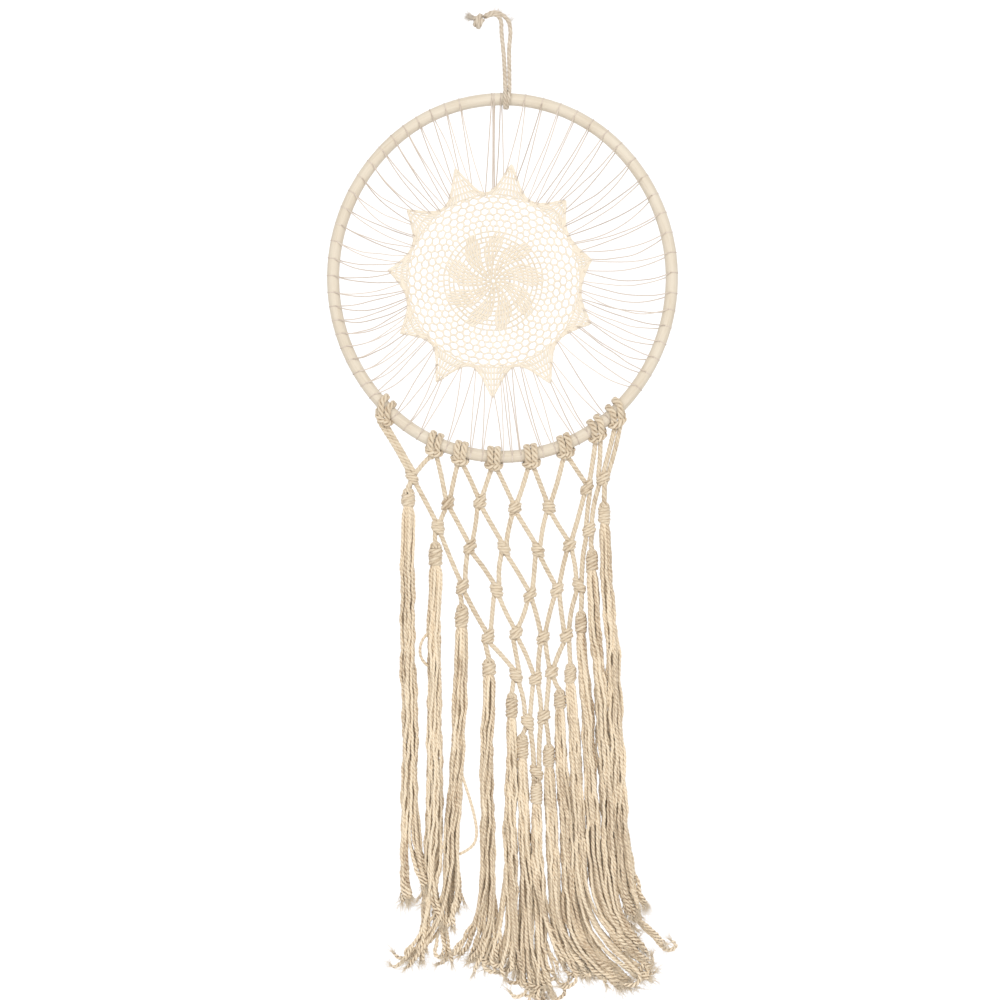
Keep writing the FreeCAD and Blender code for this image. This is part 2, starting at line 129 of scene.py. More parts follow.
# ---------------------------------------------------------------- lines
def draws(*key):
    """A random generator that always gives the same draws for the same piece."""
    return np.random.default_rng(list(key))


def wave(along, length, phase=0.0):
    """A sine of a given wavelength along a line."""
    return np.sin(2 * math.pi * along / length + phase)


def add_object(name, data):
    made = bpy.data.objects.new(name, data)
    bpy.context.scene.collection.objects.link(made)
    return made


def lengths(path):
    """The length along a line at each of its points."""
    return np.concatenate([[0.0], np.cumsum(np.linalg.norm(np.diff(path, axis=0), axis=1))])


def even(path, step):
    """The same line with its points an even step apart."""
    along = lengths(path)
    count = max(2, int(round(along[-1] / step)))
    wanted = np.linspace(0, along[-1], count + 1)
    return np.stack([np.interp(wanted, along, path[:, k]) for k in range(3)], axis=1)


def unit(vectors):
    return vectors / np.maximum(np.linalg.norm(vectors, axis=-1, keepdims=True), 1e-12)


def spline(points):
    """The smooth line of a NURBS curve that has these points as its control points."""
    curve = bpy.data.curves.new("route", "CURVE")
    curve.dimensions = "3D"
    curve.resolution_u = 10
    line = curve.splines.new("NURBS")
    line.points.add(len(points) - 1)
    for spot, point in zip(line.points, points):
        spot.co = (*point, 1)
    line.order_u = 3
    line.use_endpoint_u = True
    carrier = add_object("route", curve)
    bpy.context.view_layer.update()
    mesh = bpy.data.meshes.new_from_object(carrier.evaluated_get(bpy.context.evaluated_depsgraph_get()))
    path = np.array([v.co for v in mesh.vertices], float)
    bpy.data.objects.remove(carrier)
    bpy.data.curves.remove(curve)
    bpy.data.meshes.remove(mesh)
    return path


def carried(path):
    """A normal at every point of a line, which turns only as the line does."""
    forward = unit(np.gradient(path, axis=0))
    start = FRONT if abs(forward[0] @ FRONT) < 0.9 else UP
    normals = np.empty_like(path)
    normal = start
    for i, direction in enumerate(forward):
        normal = normal - direction * (normal @ direction)
        normal = normal / math.sqrt(normal @ normal)
        normals[i] = normal
    return forward, normals


# ---------------------------------------------------------------- meshes
class Bundle:
    """Collects tubes and makes one mesh of them.

    Each vertex keeps its strand's tone and how deep it lies in its cord, which the cotton finish paints darker
    as shade. UVs run along and round each tube.
    """

    def __init__(self):
        self.points, self.tones, self.depths = [], [], []
        self.corners, self.sizes, self.uvs = [], [], []
        self.count = 0

    def sweep(self, path, normals, radius, tone, sides=6, broad=1.0, core_shade=0.0, closed=False):
        """A tube along a line: broad widens it across its normal, and a share sets how deep its inner side lies,
        which is painted darker as shade.
        """
        rings = len(path)
        forward = unit(np.gradient(path, axis=0))
        if closed:
            forward = unit(np.roll(path, -1, axis=0) - np.roll(path, 1, axis=0))
        side = unit(np.cross(forward, normals))
        angles = np.arange(sides) * 2 * math.pi / sides
        radius = np.broadcast_to(np.asarray(radius, float), rings)[:, None, None]
        ring = normals[:, None, :] * np.cos(angles)[None, :, None]
        ring = ring + side[:, None, :] * (np.sin(angles) * broad)[None, :, None]
        points = (path[:, None, :] + ring * radius).reshape(-1, 3)
        self.points.append(points)
        self.tones.append(np.full(len(points), tone))
        # how deep each vertex lies in its cord, kept for the painted shade of the cord's inside
        self.depths.append(np.tile((1 - np.cos(angles)) / 2 * core_shade, rings))
        spans = rings if closed else rings - 1
        row = np.arange(spans)[:, None]
        column = np.arange(sides)[None, :]
        after = (row + 1) % rings
        beside = (column + 1) % sides
        quads = np.stack([
            row * sides + column, row * sides + beside, after * sides + beside, after * sides + column,
        ], axis=-1)
        self.corners.append(quads.reshape(-1) + self.count)
        self.sizes.append(np.full(spans * sides, 4))
        along = lengths(path)
        along = np.append(along, along[-1])
        u = np.stack([along[row], along[row], along[row + 1], along[row + 1]], axis=-1)
        v = np.stack([column, column + 1, column + 1, column], axis=-1) / sides
        u, v = np.broadcast_arrays(u, v)
        self.uvs.append(np.stack([u, v], axis=-1).reshape(-1, 2))
        if not closed:
            for cap in (np.arange(sides)[::-1], np.arange(sides) + (rings - 1) * sides):
                self.corners.append(cap + self.count)
                self.sizes.append(np.array([sides]))
                self.uvs.append(np.zeros((sides, 2)))
        self.count += len(points)

    def thread(self, path, radius, tone, sides=5, closed=False, broad=1.0):
        """A plain thin thread along a line."""
        _, normals = carried(path)
        self.sweep(path, normals, radius, tone, sides, broad, closed=closed)

    def rope(self, path, diameter, rng, plies=3, lay=LAY, sides=7, step=0.2, tone=0.0, taper=None, loosen=None,
             lean=None, flat=(1.0, 1.0)):
        """A twisted cord along a line, made of plies pressed together.

        Taper scales it and loosen parts its plies, both as (shares of its length, values). Flat scales its
        section along and across the lean, a direction given for each point of the line.
        """
        along = lengths(path)
        path = even(path, step * diameter)
        share = np.linspace(0, 1, len(path))
        forward, normals = carried(path)
        if lean is not None:
            wanted = np.stack([np.interp(share * along[-1], along, lean[:, k]) for k in range(3)], axis=1)
            normals = unit(wanted - forward * (wanted * forward).sum(axis=1, keepdims=True))
        side = np.cross(forward, normals)
        turn = S_TWIST * 2 * math.pi * lengths(path) / (lay * diameter) + rng.uniform(0, 2 * math.pi)
        offset, ply_r, spread = (0.255, 0.250, 0.10) if plies == 3 else (0.175, 0.325, 0.04)
        scale = np.ones(len(path)) if taper is None else np.interp(share, *taper)
        parting = scale if loosen is None else scale * np.interp(share, *loosen)
        for ply in range(plies):
            angle = turn + 2 * math.pi * ply / plies
            out = normals * np.cos(angle)[:, None] + side * np.sin(angle)[:, None]
            shift = normals * (np.cos(angle) * flat[0])[:, None] + side * (np.sin(angle) * flat[1])[:, None]
            swell = 1 + 0.05 * np.sin(lengths(path) / diameter * 1.7 + rng.uniform(0, 6))
            centre = path + shift * (offset * diameter * parting)[:, None]
            self.sweep(centre, out, ply_r * diameter * scale * swell, tone + rng.normal(0, spread), sides,
                       broad=1.12, core_shade=1.0)

    def fuzz(self, path, reach, count, rng, length=0.0035):
        """Short fibres that stand off a cord all along it."""
        forward, normals = carried(path)
        side = np.cross(forward, normals)
        t = np.linspace(0, 1, 4)[:, None]
        for spot in rng.integers(2, len(path) - 2, count):
            angle = rng.uniform(0, 2 * math.pi)
            out = normals[spot] * math.cos(angle) + side[spot] * math.sin(angle)
            heading = unit(out + forward[spot] * rng.normal(0, 0.9))
            bend = rng.normal(0, 0.35, 3)
            stands = (heading * t + bend * t ** 2) * length * rng.uniform(0.4, 1.2)
            hair = path[spot] + out * reach * 0.8 + stands
            hair[:, 1] = np.clip(hair[:, 1], -PROUD, PROUD)
            self.thread(hair, 0.00009 * (1.1 - 0.6 * t[:, 0]), 0.5, sides=3)

    def fray(self, tip, heading, length, count, rng, spread=0.5, radius=0.00016):
        """Loose fibres that fan out from a cord's end."""
        heading = unit(np.asarray(heading, float))
        t = np.linspace(0, 1, 6)[:, None]
        for _ in range(count):
            direction = unit(heading + rng.normal(0, spread, 3) * (1, 0.5, 1))
            bend = rng.normal(0, 0.35, 3) * (1, 0.4, 1)
            reach = length * rng.uniform(0.45, 1.1)
            root = tip + rng.normal(0, 0.0006, 3)
            path = root + (heading * 0.35 + direction * 0.65) * t * reach + bend * t ** 2 * reach
            path[:, 1] = np.clip(path[:, 1], -PROUD, PROUD)
            self.thread(path, radius * (1.1 - 0.7 * t[:, 0]), rng.normal(0.5, 0.2), sides=3)

    def make(self, name, finish, node=None):
        """The mesh object of everything collected. It stands for a CAD node and rides on that node's body."""
        mesh = bpy.data.meshes.new(name)
        points = np.concatenate(self.points)
        corners = np.concatenate(self.corners)
        sizes = np.concatenate(self.sizes)
        mesh.vertices.add(len(points))
        mesh.vertices.foreach_set("co", points.astype(np.float32).ravel())
        mesh.loops.add(len(corners))
        mesh.loops.foreach_set("vertex_index", corners.astype(np.int32))
        mesh.polygons.add(len(sizes))
        mesh.polygons.foreach_set("loop_start", (np.cumsum(sizes) - sizes).astype(np.int32))
        mesh.polygons.foreach_set("use_smooth", np.ones(len(sizes), bool))
        mesh.uv_layers.new(name="strand")
        mesh.update(calc_edges=True)
        layer = mesh.uv_layers["strand"]
        layer.data.foreach_set("uv", np.concatenate(self.uvs).astype(np.float32).ravel())
        for title, values in (("tone", self.tones), ("depth", self.depths)):
            attribute = mesh.attributes.new(title, "FLOAT", "POINT")
            attribute.data.foreach_set("value", np.concatenate(values).astype(np.float32))
        mesh.materials.append(finish)
        made = add_object(name, mesh)
        if node:
            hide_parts(node)
            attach(made, frame["nodes"][node]["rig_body"])
        return made


# ---------------------------------------------------------------- materials
class Finish:
    """One material, and short calls to add its nodes."""

    def __init__(self, name, roughness, sheen=0.0):
        self.material = bpy.data.materials.new(name)
        self.material.use_nodes = True
        self.tree = self.material.node_tree
        self.shader = self.tree.nodes["Principled BSDF"]
        self.shader.inputs["Roughness"].default_value = roughness
        self.shader.inputs["Sheen Weight"].default_value = sheen
        self.shader.inputs["Sheen Roughness"].default_value = 0.5
        self.shader.inputs["Specular IOR Level"].default_value = 0.25

    def add(self, kind, inputs=None, **settings):
        node = self.tree.nodes.new(kind)
        for setting, value in settings.items():
            setattr(node, setting, value)
        for socket, value in (inputs or {}).items():
            if isinstance(value, bpy.types.NodeSocket):
                self.tree.links.new(value, node.inputs[socket])
            else:
                node.inputs[socket].default_value = value
        return node

    def math(self, operation, *values, clamp=False):
        node = self.add("ShaderNodeMath", dict(enumerate(values)), operation=operation, use_clamp=clamp)
        return node.outputs[0]

    def attribute(self, name):
        return self.add("ShaderNodeAttribute", attribute_name=name).outputs["Fac"]

    def noise(self, vector, scale, detail=3.0):
        inputs = {"Vector": vector, "Scale": scale, "Detail": detail}
        return self.add("ShaderNodeTexNoise", inputs).outputs["Fac"]

    def ramp(self, value, *stops):
        node = self.add("ShaderNodeValToRGB", {"Fac": value})
        while len(node.color_ramp.elements) < len(stops):
            node.color_ramp.elements.new(0.5)
        for element, (place, colour) in zip(node.color_ramp.elements, stops):
            element.position = place
            element.color = (*colour, 1)
        return node.outputs["Color"]

    def bump(self, height, distance, strength):
        node = self.add("ShaderNodeBump", {"Height": height, "Distance": distance, "Strength": strength})
        self.tree.links.new(node.outputs["Normal"], self.shader.inputs["Normal"])

    def colour(self, socket):
        self.tree.links.new(socket, self.shader.inputs["Base Color"])

    def plus(self, value, share, base, middle=0.0, clamp=False):
        """The base with a share of how far a value is from its middle."""
        if middle:
            value = self.math("SUBTRACT", value, middle)
        return self.math("MULTIPLY_ADD", value, share, base, clamp=clamp)


def linear(red, green, blue):
    """A colour given as it is seen on a screen, from 0 to 255, in the linear values that a shader takes."""
    return tuple(((c / 255 + 0.055) / 1.055) ** 2.4 for c in (red, green, blue))


def cotton(name, dark, middle, light, fibre=1.0, sheen=0.25, crevice_shade=0.45):
    """Spun cotton: fibres wind along each ply, each strand has a tone, and a cord's inside, between its plies,
    is painted darker as shade.
    """
    finish = Finish(name, 0.92, sheen)
    place = finish.add("ShaderNodeUVMap", uv_map="strand").outputs["UV"]
    parts = finish.add("ShaderNodeSeparateXYZ", {0: place})
    wound = finish.plus(parts.outputs[0], 420.0, finish.math("MULTIPLY", parts.outputs[1], 7.0))
    along = finish.math("MULTIPLY", parts.outputs[0], 160.0)
    vector = finish.add("ShaderNodeCombineXYZ", {0: along, 1: wound, 2: finish.attribute("tone")}).outputs[0]
    streaks = finish.noise(vector, fibre, 4.0)
    patches = finish.noise(finish.add("ShaderNodeTexCoord").outputs["Object"], 28.0, 2.0)
    lit = finish.plus(streaks, 0.8, 0.60, middle=0.5)
    lit = finish.plus(patches, 0.35, lit, middle=0.5)
    lit = finish.plus(finish.attribute("tone"), 0.55, lit)
    # painted shade: the side of each ply that faces the cord's core is darkened, where shade falls between the
    # plies
    lit = finish.plus(finish.attribute("depth"), -crevice_shade, lit, clamp=True)
    finish.colour(finish.ramp(lit, (0.0, dark), (0.55, middle), (1.0, light)))
    finish.bump(streaks, 0.0004, 0.5)
    return finish.material


def rattan(name):
    """The hoop's peeled cane: pale ivory, with a faint grain that runs round the hoop."""
    finish = Finish(name, 0.55, 0.05)
    place = finish.add("ShaderNodeTexCoord").outputs["Object"]
    to_middle = tuple(-box_middle("hoop_ring"))
    shifted = finish.add("ShaderNodeVectorMath", {0: place, 1: to_middle}, operation="ADD").outputs[0]
    parts = finish.add("ShaderNodeSeparateXYZ", {0: shifted})
    turn = finish.math("ARCTAN2", parts.outputs[2], parts.outputs[0])
    distance = finish.add("ShaderNodeVectorMath", {0: shifted}, operation="LENGTH").outputs["Value"]
    grain_place = finish.add("ShaderNodeCombineXYZ", {
        0: finish.math("MULTIPLY", turn, 5.0),
        1: finish.math("MULTIPLY", distance, 900.0),
        2: finish.math("MULTIPLY", parts.outputs[1], 900.0),
    }).outputs[0]
    grain = finish.noise(grain_place, 1.0, 5.0)
    blotches = finish.noise(shifted, 22.0, 3.0)
    specks = finish.noise(shifted, 700.0, 1.0)
    lit = finish.plus(grain, 0.55, finish.math("MULTIPLY", blotches, 0.5), clamp=True)
    lit = finish.plus(specks, 0.12, lit, middle=0.5, clamp=True)
    finish.colour(finish.ramp(
        lit, (0.18, linear(193, 177, 152)), (0.5, linear(211, 199, 180)), (0.85, linear(221, 212, 196)),
    ))
    finish.bump(grain, 0.0003, 0.25)
    return finish.material


# ---------------------------------------------------------------- reading the frame
def box_middle(node):
    low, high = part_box(node)
    return np.array((low + high) / 2)


def solids(node):
    """The vertices of each separate solid of a CAD node, from left to right."""
    mesh = frame["nodes"][node].data
    place = np.empty(len(mesh.vertices) * 3, np.float32)
    mesh.vertices.foreach_get("co", place)
    mesh.calc_loop_triangles()
    corners = np.empty(len(mesh.loop_triangles) * 3, np.int32)
    mesh.loop_triangles.foreach_get("vertices", corners)
    points, same = np.unique(np.round(place.reshape(-1, 3), 6), axis=0, return_inverse=True)
    triangles = same.reshape(-1)[corners].reshape(-1, 3)
    label = np.arange(len(points))
    while True:
        joined = label.copy()
        np.minimum.at(joined, triangles.ravel(), np.repeat(label[triangles].min(axis=1), 3))
        joined = joined[joined]
        if (joined == label).all():
            break
        label = joined
    found = [points[label == value].astype(float) for value in np.unique(label)]
    return sorted(found, key=lambda solid: solid[:, 0].mean())


def rod_line(solid):
    """The two ends and the middle of a cord's solid, from the top down."""
    centred = solid - solid.mean(axis=0)
    axis = np.linalg.svd(centred, full_matrices=False)[2][0]
    axis = axis if axis[2] < 0 else -axis
    along = centred @ axis
    reach = along.max() - along.min()
    top = solid[along < along.min() + 0.0009].mean(axis=0)
    foot = solid[along > along.max() - 0.0009].mean(axis=0)
    near = np.abs(along - (along.max() + along.min()) / 2) < reach * 0.12
    middle = solid[near].mean(axis=0) if near.any() else (top + foot) / 2
    return top, middle, foot


class Hoop:
    """The hoop's oval centre line, as four arcs that the CAD ring's own box gives."""

    def __init__(self):
        low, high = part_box("hoop_ring")
        self.tube_r = (high.y - low.y) / 2
        self.centre = np.array((low + high) / 2)
        half_width = (high.x - low.x) / 2 - self.tube_r
        half_height = (high.z - low.z) / 2 - self.tube_r
        self.step = (half_height - half_width) / (2 - math.sqrt(2))
        self.side_r = half_width + self.step
        self.end_r = half_height - self.step

    def outward(self, degrees):
        return np.array([math.cos(math.radians(degrees)), 0.0, math.sin(math.radians(degrees))])

    def point(self, degrees):
        """The point of the centre line whose outward normal has this direction."""
        quarter = int(((degrees + 45) % 360) // 90)
        shift = [(-1, 0), (0, 1), (1, 0), (0, -1)][quarter]
        radius = self.side_r if quarter in (0, 2) else self.end_r
        centre = self.centre + np.array([shift[0], 0.0, shift[1]]) * self.step
        return centre + self.outward(degrees) * radius

    def direction(self, place):
        """The outward normal's direction at the place of the centre line that is nearest."""
        angles = np.arange(0, 360, 0.1)
        line = np.array([self.point(a) for a in angles])
        return angles[np.linalg.norm((line - place)[:, [0, 2]], axis=1).argmin()]


# ---------------------------------------------------------------- hanger
def build_hanger(finish):
    """The doubled hanging cord, its knot, its frayed ends and its loop round the hoop."""
    knot = Bundle()
    coil_knot(knot, box_middle("hanger_knot"), 0.0080, 1.65, math.radians(6), draws(3, 1), 0.0047,
              unit(np.array([-0.91, 0, 0.42])))
    knot_piece = knot.make("hanger_overhand_knot", finish, "hanger_knot")
    tail_piece = build_hanger_tail(finish)
    for index, (side, points) in enumerate(HANGER_ROUTES.items()):
        path = spline(points)
        strand = Bundle()
        rng = draws(3, 2, index)
        strand.rope(path, HANGER_ROPE_D, rng, lay=HANGER_LAY, sides=9, step=0.16, tone=-0.05)
        piece = strand.make(f"hanger_strand_{side}", finish)
        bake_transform(piece)
        if side == "left":
            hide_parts("hanger_cord")
    build_hanger_fuzz(finish)
    build_hanger_loop(finish)


def build_hanger_tail(finish):
    low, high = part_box("hanger_tail")
    start = np.array([high.x, 0, (low.z + high.z) / 2 - 0.001])
    end = np.array([low.x, 0, (low.z + high.z) / 2 + 0.001])
    tail = Bundle()
    rng = draws(3, 3)
    for side in (-1, 1):
        stub = np.array([
            start + (0.004, side * 0.001, 0), start + (0.001, side * 0.0014, side * 0.0008),
            start * 0.62 + end * 0.38 + (0, side * 0.0015, side * 0.0012),
        ])
        path = spline(stub)
        tail.rope(path, 0.0034, rng, lay=HANGER_LAY, sides=8, tone=0.1, taper=([0, 0.5, 1], [1, 1, 0.5]))
        for spot in path[-3:]:
            tail.fray(spot, end - start, 0.0062, 46, rng, spread=0.36, radius=0.0002)
    return tail.make("hanger_frayed_tail", finish, "hanger_tail")


def build_hanger_fuzz(finish):
    """Fibres that stand off the worn arch of the hanging cord, above the nail."""
    fuzz = Bundle()
    rng = draws(3, 4)
    path = spline(HANGER_ROUTES["right"])
    arch = path[path[:, 2] > 0.006]
    for _ in range(90):
        spot = arch[rng.integers(0, len(arch))]
        if rng.uniform() > 0.35 + 30 * (spot[0] + 0.012):
            continue
        away = unit(spot - np.array([-0.006, 0, 0.002]) + rng.normal(0, 0.003, 3))
        fuzz.fray(spot + away * 0.0012, away + np.array([0.5, 0, 0.2]), 0.0062, 2, rng, spread=0.55,
                  radius=0.00013)
    piece = fuzz.make("hanger_fuzz", finish)
    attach(piece, "hanger")


def build_hanger_loop(finish):
    """The same cord's turn over the front of the hoop, round it and back up to the strands."""
    loop = Bundle()
    rng = draws(3, 5)
    low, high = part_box("hanger_hitch")
    middle = (low + high) / 2
    ring = (high.y - low.y) / 2 - HANGER_CORD_D / 2
    for side, (x_top, x_foot) in {"left": (-0.0008, -0.0009), "right": (0.0034, 0.0012)}.items():
        turn = [(x_top, 0, -0.0560), (x_top, -0.0022, -0.0588)]
        for degrees in (55, 15, -25, -62):
            share = (55 - degrees) / 117
            angle = math.radians(degrees)
            turn.append((x_top + (x_foot - x_top) * share, -ring * 1.06 * math.cos(angle),
                         middle.z + ring * 1.06 * math.sin(angle)))
        for degrees in (-100, -140, 180, 140, 108):
            angle = math.radians(degrees)
            turn.append((x_foot, -ring * 1.03 * math.cos(angle), middle.z + ring * 1.03 * math.sin(angle)))
        loop.rope(spline(turn), HANGER_CORD_D, rng, lay=HANGER_LAY, sides=9, step=0.16, tone=-0.05)
    piece = loop.make("hanger_loop", finish, "hanger_hitch")


# ---------------------------------------------------------------- knots, hitches and net
def coil_knot(bundle, centre, half_width, turns, tilt, rng, diameter, axis=UP):
    """A pulled-tight overhand knot: bands of cord coiled aslant, whose two ends tuck in under the others."""
    side = np.array([axis[2], 0, -axis[0]])
    t = np.linspace(0, 1, int(40 * turns))
    angle = 2 * math.pi * turns * t + rng.uniform(0, 2 * math.pi)
    ease = 1 - 0.6 * np.abs(2 * t - 1) ** 10
    bulge = 1 - 0.14 * (2 * t - 1) ** 2 + 0.04 * np.sin(angle * 0.5 + rng.uniform(0, 6))
    radius = (half_width - diameter * 0.44) * ease * bulge
    across, back = radius * np.cos(angle), radius * 0.82 * np.sin(angle)
    height = diameter * 0.84 * turns * (0.5 - t)
    height = height + math.tan(tilt) * across * (1 + 0.25 * np.sin(angle * 0.31 + rng.uniform(0, 6)))
    lean = np.outer(across, side) - np.outer(back, FRONT)
    bundle.rope(centre + lean + np.outer(height, axis), diameter, rng, sides=8, step=0.16, lay=3.8, tone=0.03,
                lean=unit(lean), flat=(0.75, 1.1))


def build_net_knots(finish):
    for row in range(1, 8):
        node = f"net_knots_row_{row}"
        knots = Bundle()
        for index, solid in enumerate(solids(node)):
            rng = draws(5, row, index)
            centre = (solid.min(axis=0) + solid.max(axis=0)) / 2
            half_width = (solid[:, 0].max() - solid[:, 0].min()) / 2 + 0.0009
            tilt = math.radians(rng.uniform(14, 30)) * rng.choice([1, 1, -1])
            coil_knot(knots, centre, half_width, rng.uniform(2.3, 2.8), tilt, rng, 0.0050)
        knots.make(f"net_knot_row_{row}", finish, node)


def build_net_cords(finish):
    """The net's cords, each a little slack, with both ends inside the knots or hitches that they join."""
    for row in range(1, 9):
        node = f"net_cords_row_{row}"
        cords = Bundle()
        for index, solid in enumerate(solids(node)):
            rng = draws(6, row, index)
            top, middle, foot = rod_line(solid)
            heading = unit(foot - top)
            slack = np.cross(heading, FRONT) * rng.normal(0, 0.0005)
            bury_foot = 0.0045 if row < 8 and index else 0.003
            points = [top - heading * 0.0045, top, middle * 0.7 + top * 0.3 + slack,
                      middle * 0.7 + foot * 0.3 + slack, foot, foot + heading * bury_foot]
            cords.rope(spline(points), NET_ROPE_D * rng.uniform(0.96, 1.04), rng, step=0.18, tone=0.02)
        cords.make(f"net_rope_row_{row}", finish, node)


HITCH_CORD_D = 0.0057
# half of a cow hitch in millimetres, from the middle of its bar: along the hoop, outward, to the front, and
# whether its first offset is level (1) or along the hoop (0)
HITCH_HALF = np.array([
    (0.0, 11.0, 6.3, 0.5), (3.2, 10.8, 6.1, 0.5), (5.6, 9.8, 4.7, 0.5), (6.8, 8.2, 1.0, 0.5),
    (6.0, 7.4, -4.0, 0.2), (4.4, 4.0, -7.6, 0), (3.4, -2.8, -8.2, 0), (3.3, -7.6, -4.8, 0),
    (3.3, -9.0, 0.4, 0), (3.3, -6.8, 5.6, 0),
    (3.3, -1.4, 8.4, 0), (3.2, 4.6, 7.6, 0), (3.0, 8.6, 3.6, 0.5), (2.6, 12.0, 0.6, 1), (2.4, 15.0, 0.2, 1),
])


def build_cow_hitches(finish, hoop):
    """Eight cow hitches: two turns up over the hoop's front, with a bar across them. All hang straight down."""
    for number in range(1, 9):
        node = f"cord_hitch_{number}"
        rng = draws(7, number)
        degrees = hoop.direction(box_middle(node))
        centre, outward = hoop.point(degrees), hoop.outward(degrees)
        along = hoop.outward(degrees + 90)
        lean = math.radians(270 - degrees)
        hitch = Bundle()
        for side in (-1, 1):
            jitter = rng.normal(0, 0.18, (len(HITCH_HALF), 3))
            jitter[0] = 0
            local = (HITCH_HALF[:, :3] + jitter) * MM
            level = HITCH_HALF[:, 3:]
            offset = along * (1 - level) / math.cos(lean) + np.array([1.0, 0, 0]) * level
            points = centre + offset * (local[:, :1] * side) + FRONT * local[:, 2:]
            points = points + outward * local[:, 1:2]
            points = points + along * math.tan(lean) * np.maximum(local[:, 1:2], 0)
            path = spline(points)
            from_axis = path - centre
            from_axis = unit(from_axis - np.outer(from_axis @ along, along))
            share = np.linspace(0, 1, len(path))[:, None]
            facing = np.clip((share - 0.16) / 0.1, 0, 1)
            hitch.rope(path, HITCH_CORD_D, rng, sides=8, step=0.15, flat=(0.55, 1.4),
                       lean=(from_axis + FRONT * 0.35) * facing + FRONT * (1 - facing),
                       taper=([0, 0.12, 0.22, 0.85, 1], [0.9, 0.9, 1, 1, 0.78]))
        hitch.make(f"cow_hitch_{number}", finish, node)


# ---------------------------------------------------------------- tassels
# name: number of yarns, turns of the wrap, and the locks that its ends fall into. A lock is its share of the
# yarns, the x and z of its tips in millimetres, how far they spread, and the share of them that curl
TASSELS = {
    "left_1": (15, 3, [(0.55, -97, -843, 4, 0), (0.45, -79, -831, 3, 0)]),
    "left_2": (15, 4, [(0.30, -75, -846, 3, 0), (0.25, -66, -866, 3, 0), (0.45, -84, -900, 7, 0.15)]),
    "left_3": (15, 4, [(0.25, -46, -851, 3, 0), (0.25, -56, -872, 3, 0), (0.30, -95, -906, 7, 0.3),
                       (0.20, -63, -900, 5, 0.45)]),
    "left_4": (16, 3, [(0.45, -42, -900, 7, 0.3), (0.30, -24, -906, 7, 0.25), (0.25, -12, -908, 6, 0.15)]),
    "left_5": (14, 5, [(0.55, -4, -905, 7, 0.35), (0.45, 12, -914, 8, 0.35)]),
    "left_6": (14, 5, [(0.50, 16, -925, 9, 0.4), (0.50, 30, -934, 7, 0.45)]),
    "tip": (16, 5, [(0.40, 34, -938, 8, 0.4), (0.30, 46, -926, 8, 0.35), (0.30, 56, -905, 7, 0.3)]),
    "right_6": (15, 5, [(0.50, 66, -908, 9, 0.25), (0.50, 80, -915, 8, 0.25)]),
    "right_5": (15, 4, [(0.50, 96, -916, 9, 0.2), (0.50, 110, -926, 8, 0.2)]),
    "right_4": (15, 4, [(0.45, 118, -926, 8, 0.2), (0.55, 132, -918, 8, 0.25)]),
    "right_3": (15, 4, [(0.40, 136, -906, 8, 0.3), (0.60, 118, -890, 9, 0.2)]),
    "right_2": (16, 4, [(0.50, 113, -876, 6, 0.1), (0.35, 124, -892, 7, 0.15), (0.15, 140, -893, 8, 0.25)]),
    "right_1": (15, 4, [(0.45, 122, -861, 4, 0), (0.55, 130, -851, 4, 0)]),
}
BACK = 0.0102                    # the yarns' centre lines stay between these, at the wall and in front
FORE = -0.0140
LAYERS = (-0.95, 0.6, -0.3)      # how far forward or back each yarn in turn lies, as shares of the half depth
BACKING = 6                      # more yarns, which hang straight at the back
BACKING_DEPTH = 0.75
# what bends a tassel as a whole, each of its yarns, and a yarn's loose end: wavelengths and sizes
SWAYS = ((0.28, 0.0011), (0.11, 0.0005))
DRIFTS = ((0.30, 0.20), (0.12, 0.11))      # these sizes are shares of the tassel's half width
RIPPLES = ((0.050, 0.0009), (0.019, 0.0005))
END_RIPPLES = ((0.024, 0.0016), (0.011, 0.0007))


def tassel_levels(node):
    """A tassel's middle, half width and half depth at even heights, from where its surface crosses each."""
    mesh = frame["nodes"][node].data
    points = np.array([v.co for v in mesh.vertices], float)
    edges = np.array([e.vertices[:] for e in mesh.edges])
    a, b = points[edges[:, 0]], points[edges[:, 1]]
    rows = []
    for z in np.arange(points[:, 2].min() + 0.0012, points[:, 2].max(), 0.004):
        cross = (a[:, 2] - z) * (b[:, 2] - z) < 0
        t = (z - a[cross, 2]) / (b[cross, 2] - a[cross, 2])
        at = a[cross] + (b[cross] - a[cross]) * t[:, None]
        low, high = at.min(axis=0), at.max(axis=0)
        rows.append((z, (low[0] + high[0]) / 2, (high[0] - low[0]) / 2, high[1]))
    return np.array(rows)


def yarn_end(body, tip, curl, rng):
    """The loose end of a yarn, from its hanging part to its tip: it sweeps over, frizzes and may curl up."""
    start = body[-1]
    reach = math.sqrt(((tip - start) ** 2).sum())
    down = unit(body[-1] - body[-3])
    aim = unit((tip - start) * (1.5, 1, 0.8))
    t = np.linspace(0, 1, max(10, int(reach / 0.0035)))[:, None]
    rise, drop = start + down * reach * 0.42, tip - aim * reach * 0.38
    path = (1 - t) ** 3 * start + 3 * t * (1 - t) ** 2 * rise + 3 * t ** 2 * (1 - t) * drop + t ** 3 * tip
    if curl:
        bend = rng.uniform(0.9, 3.0) * rng.choice([-1, 1])
        radius = rng.uniform(0.005, 0.010)
        angles = math.atan2(aim[0], -aim[2]) + bend * np.linspace(0, 1, 12)[1:]
        steps = np.stack([np.sin(angles), rng.normal(0, 0.25) + 0 * angles, -np.cos(angles)], axis=1)
        path = np.concatenate([path, path[-1] + np.cumsum(steps, axis=0) * abs(bend) * radius / 11])
    grow = np.linspace(0, 1, len(path)) ** 1.3
    along = lengths(path)
    for wavelength, size in END_RIPPLES:
        for axis in (0, 1):
            ripple = wave(along, wavelength * rng.uniform(0.8, 1.3), rng.uniform(0, 6))
            path[:, axis] += grow * size * rng.uniform(0.3, 1.2) * ripple
    return path[1:]


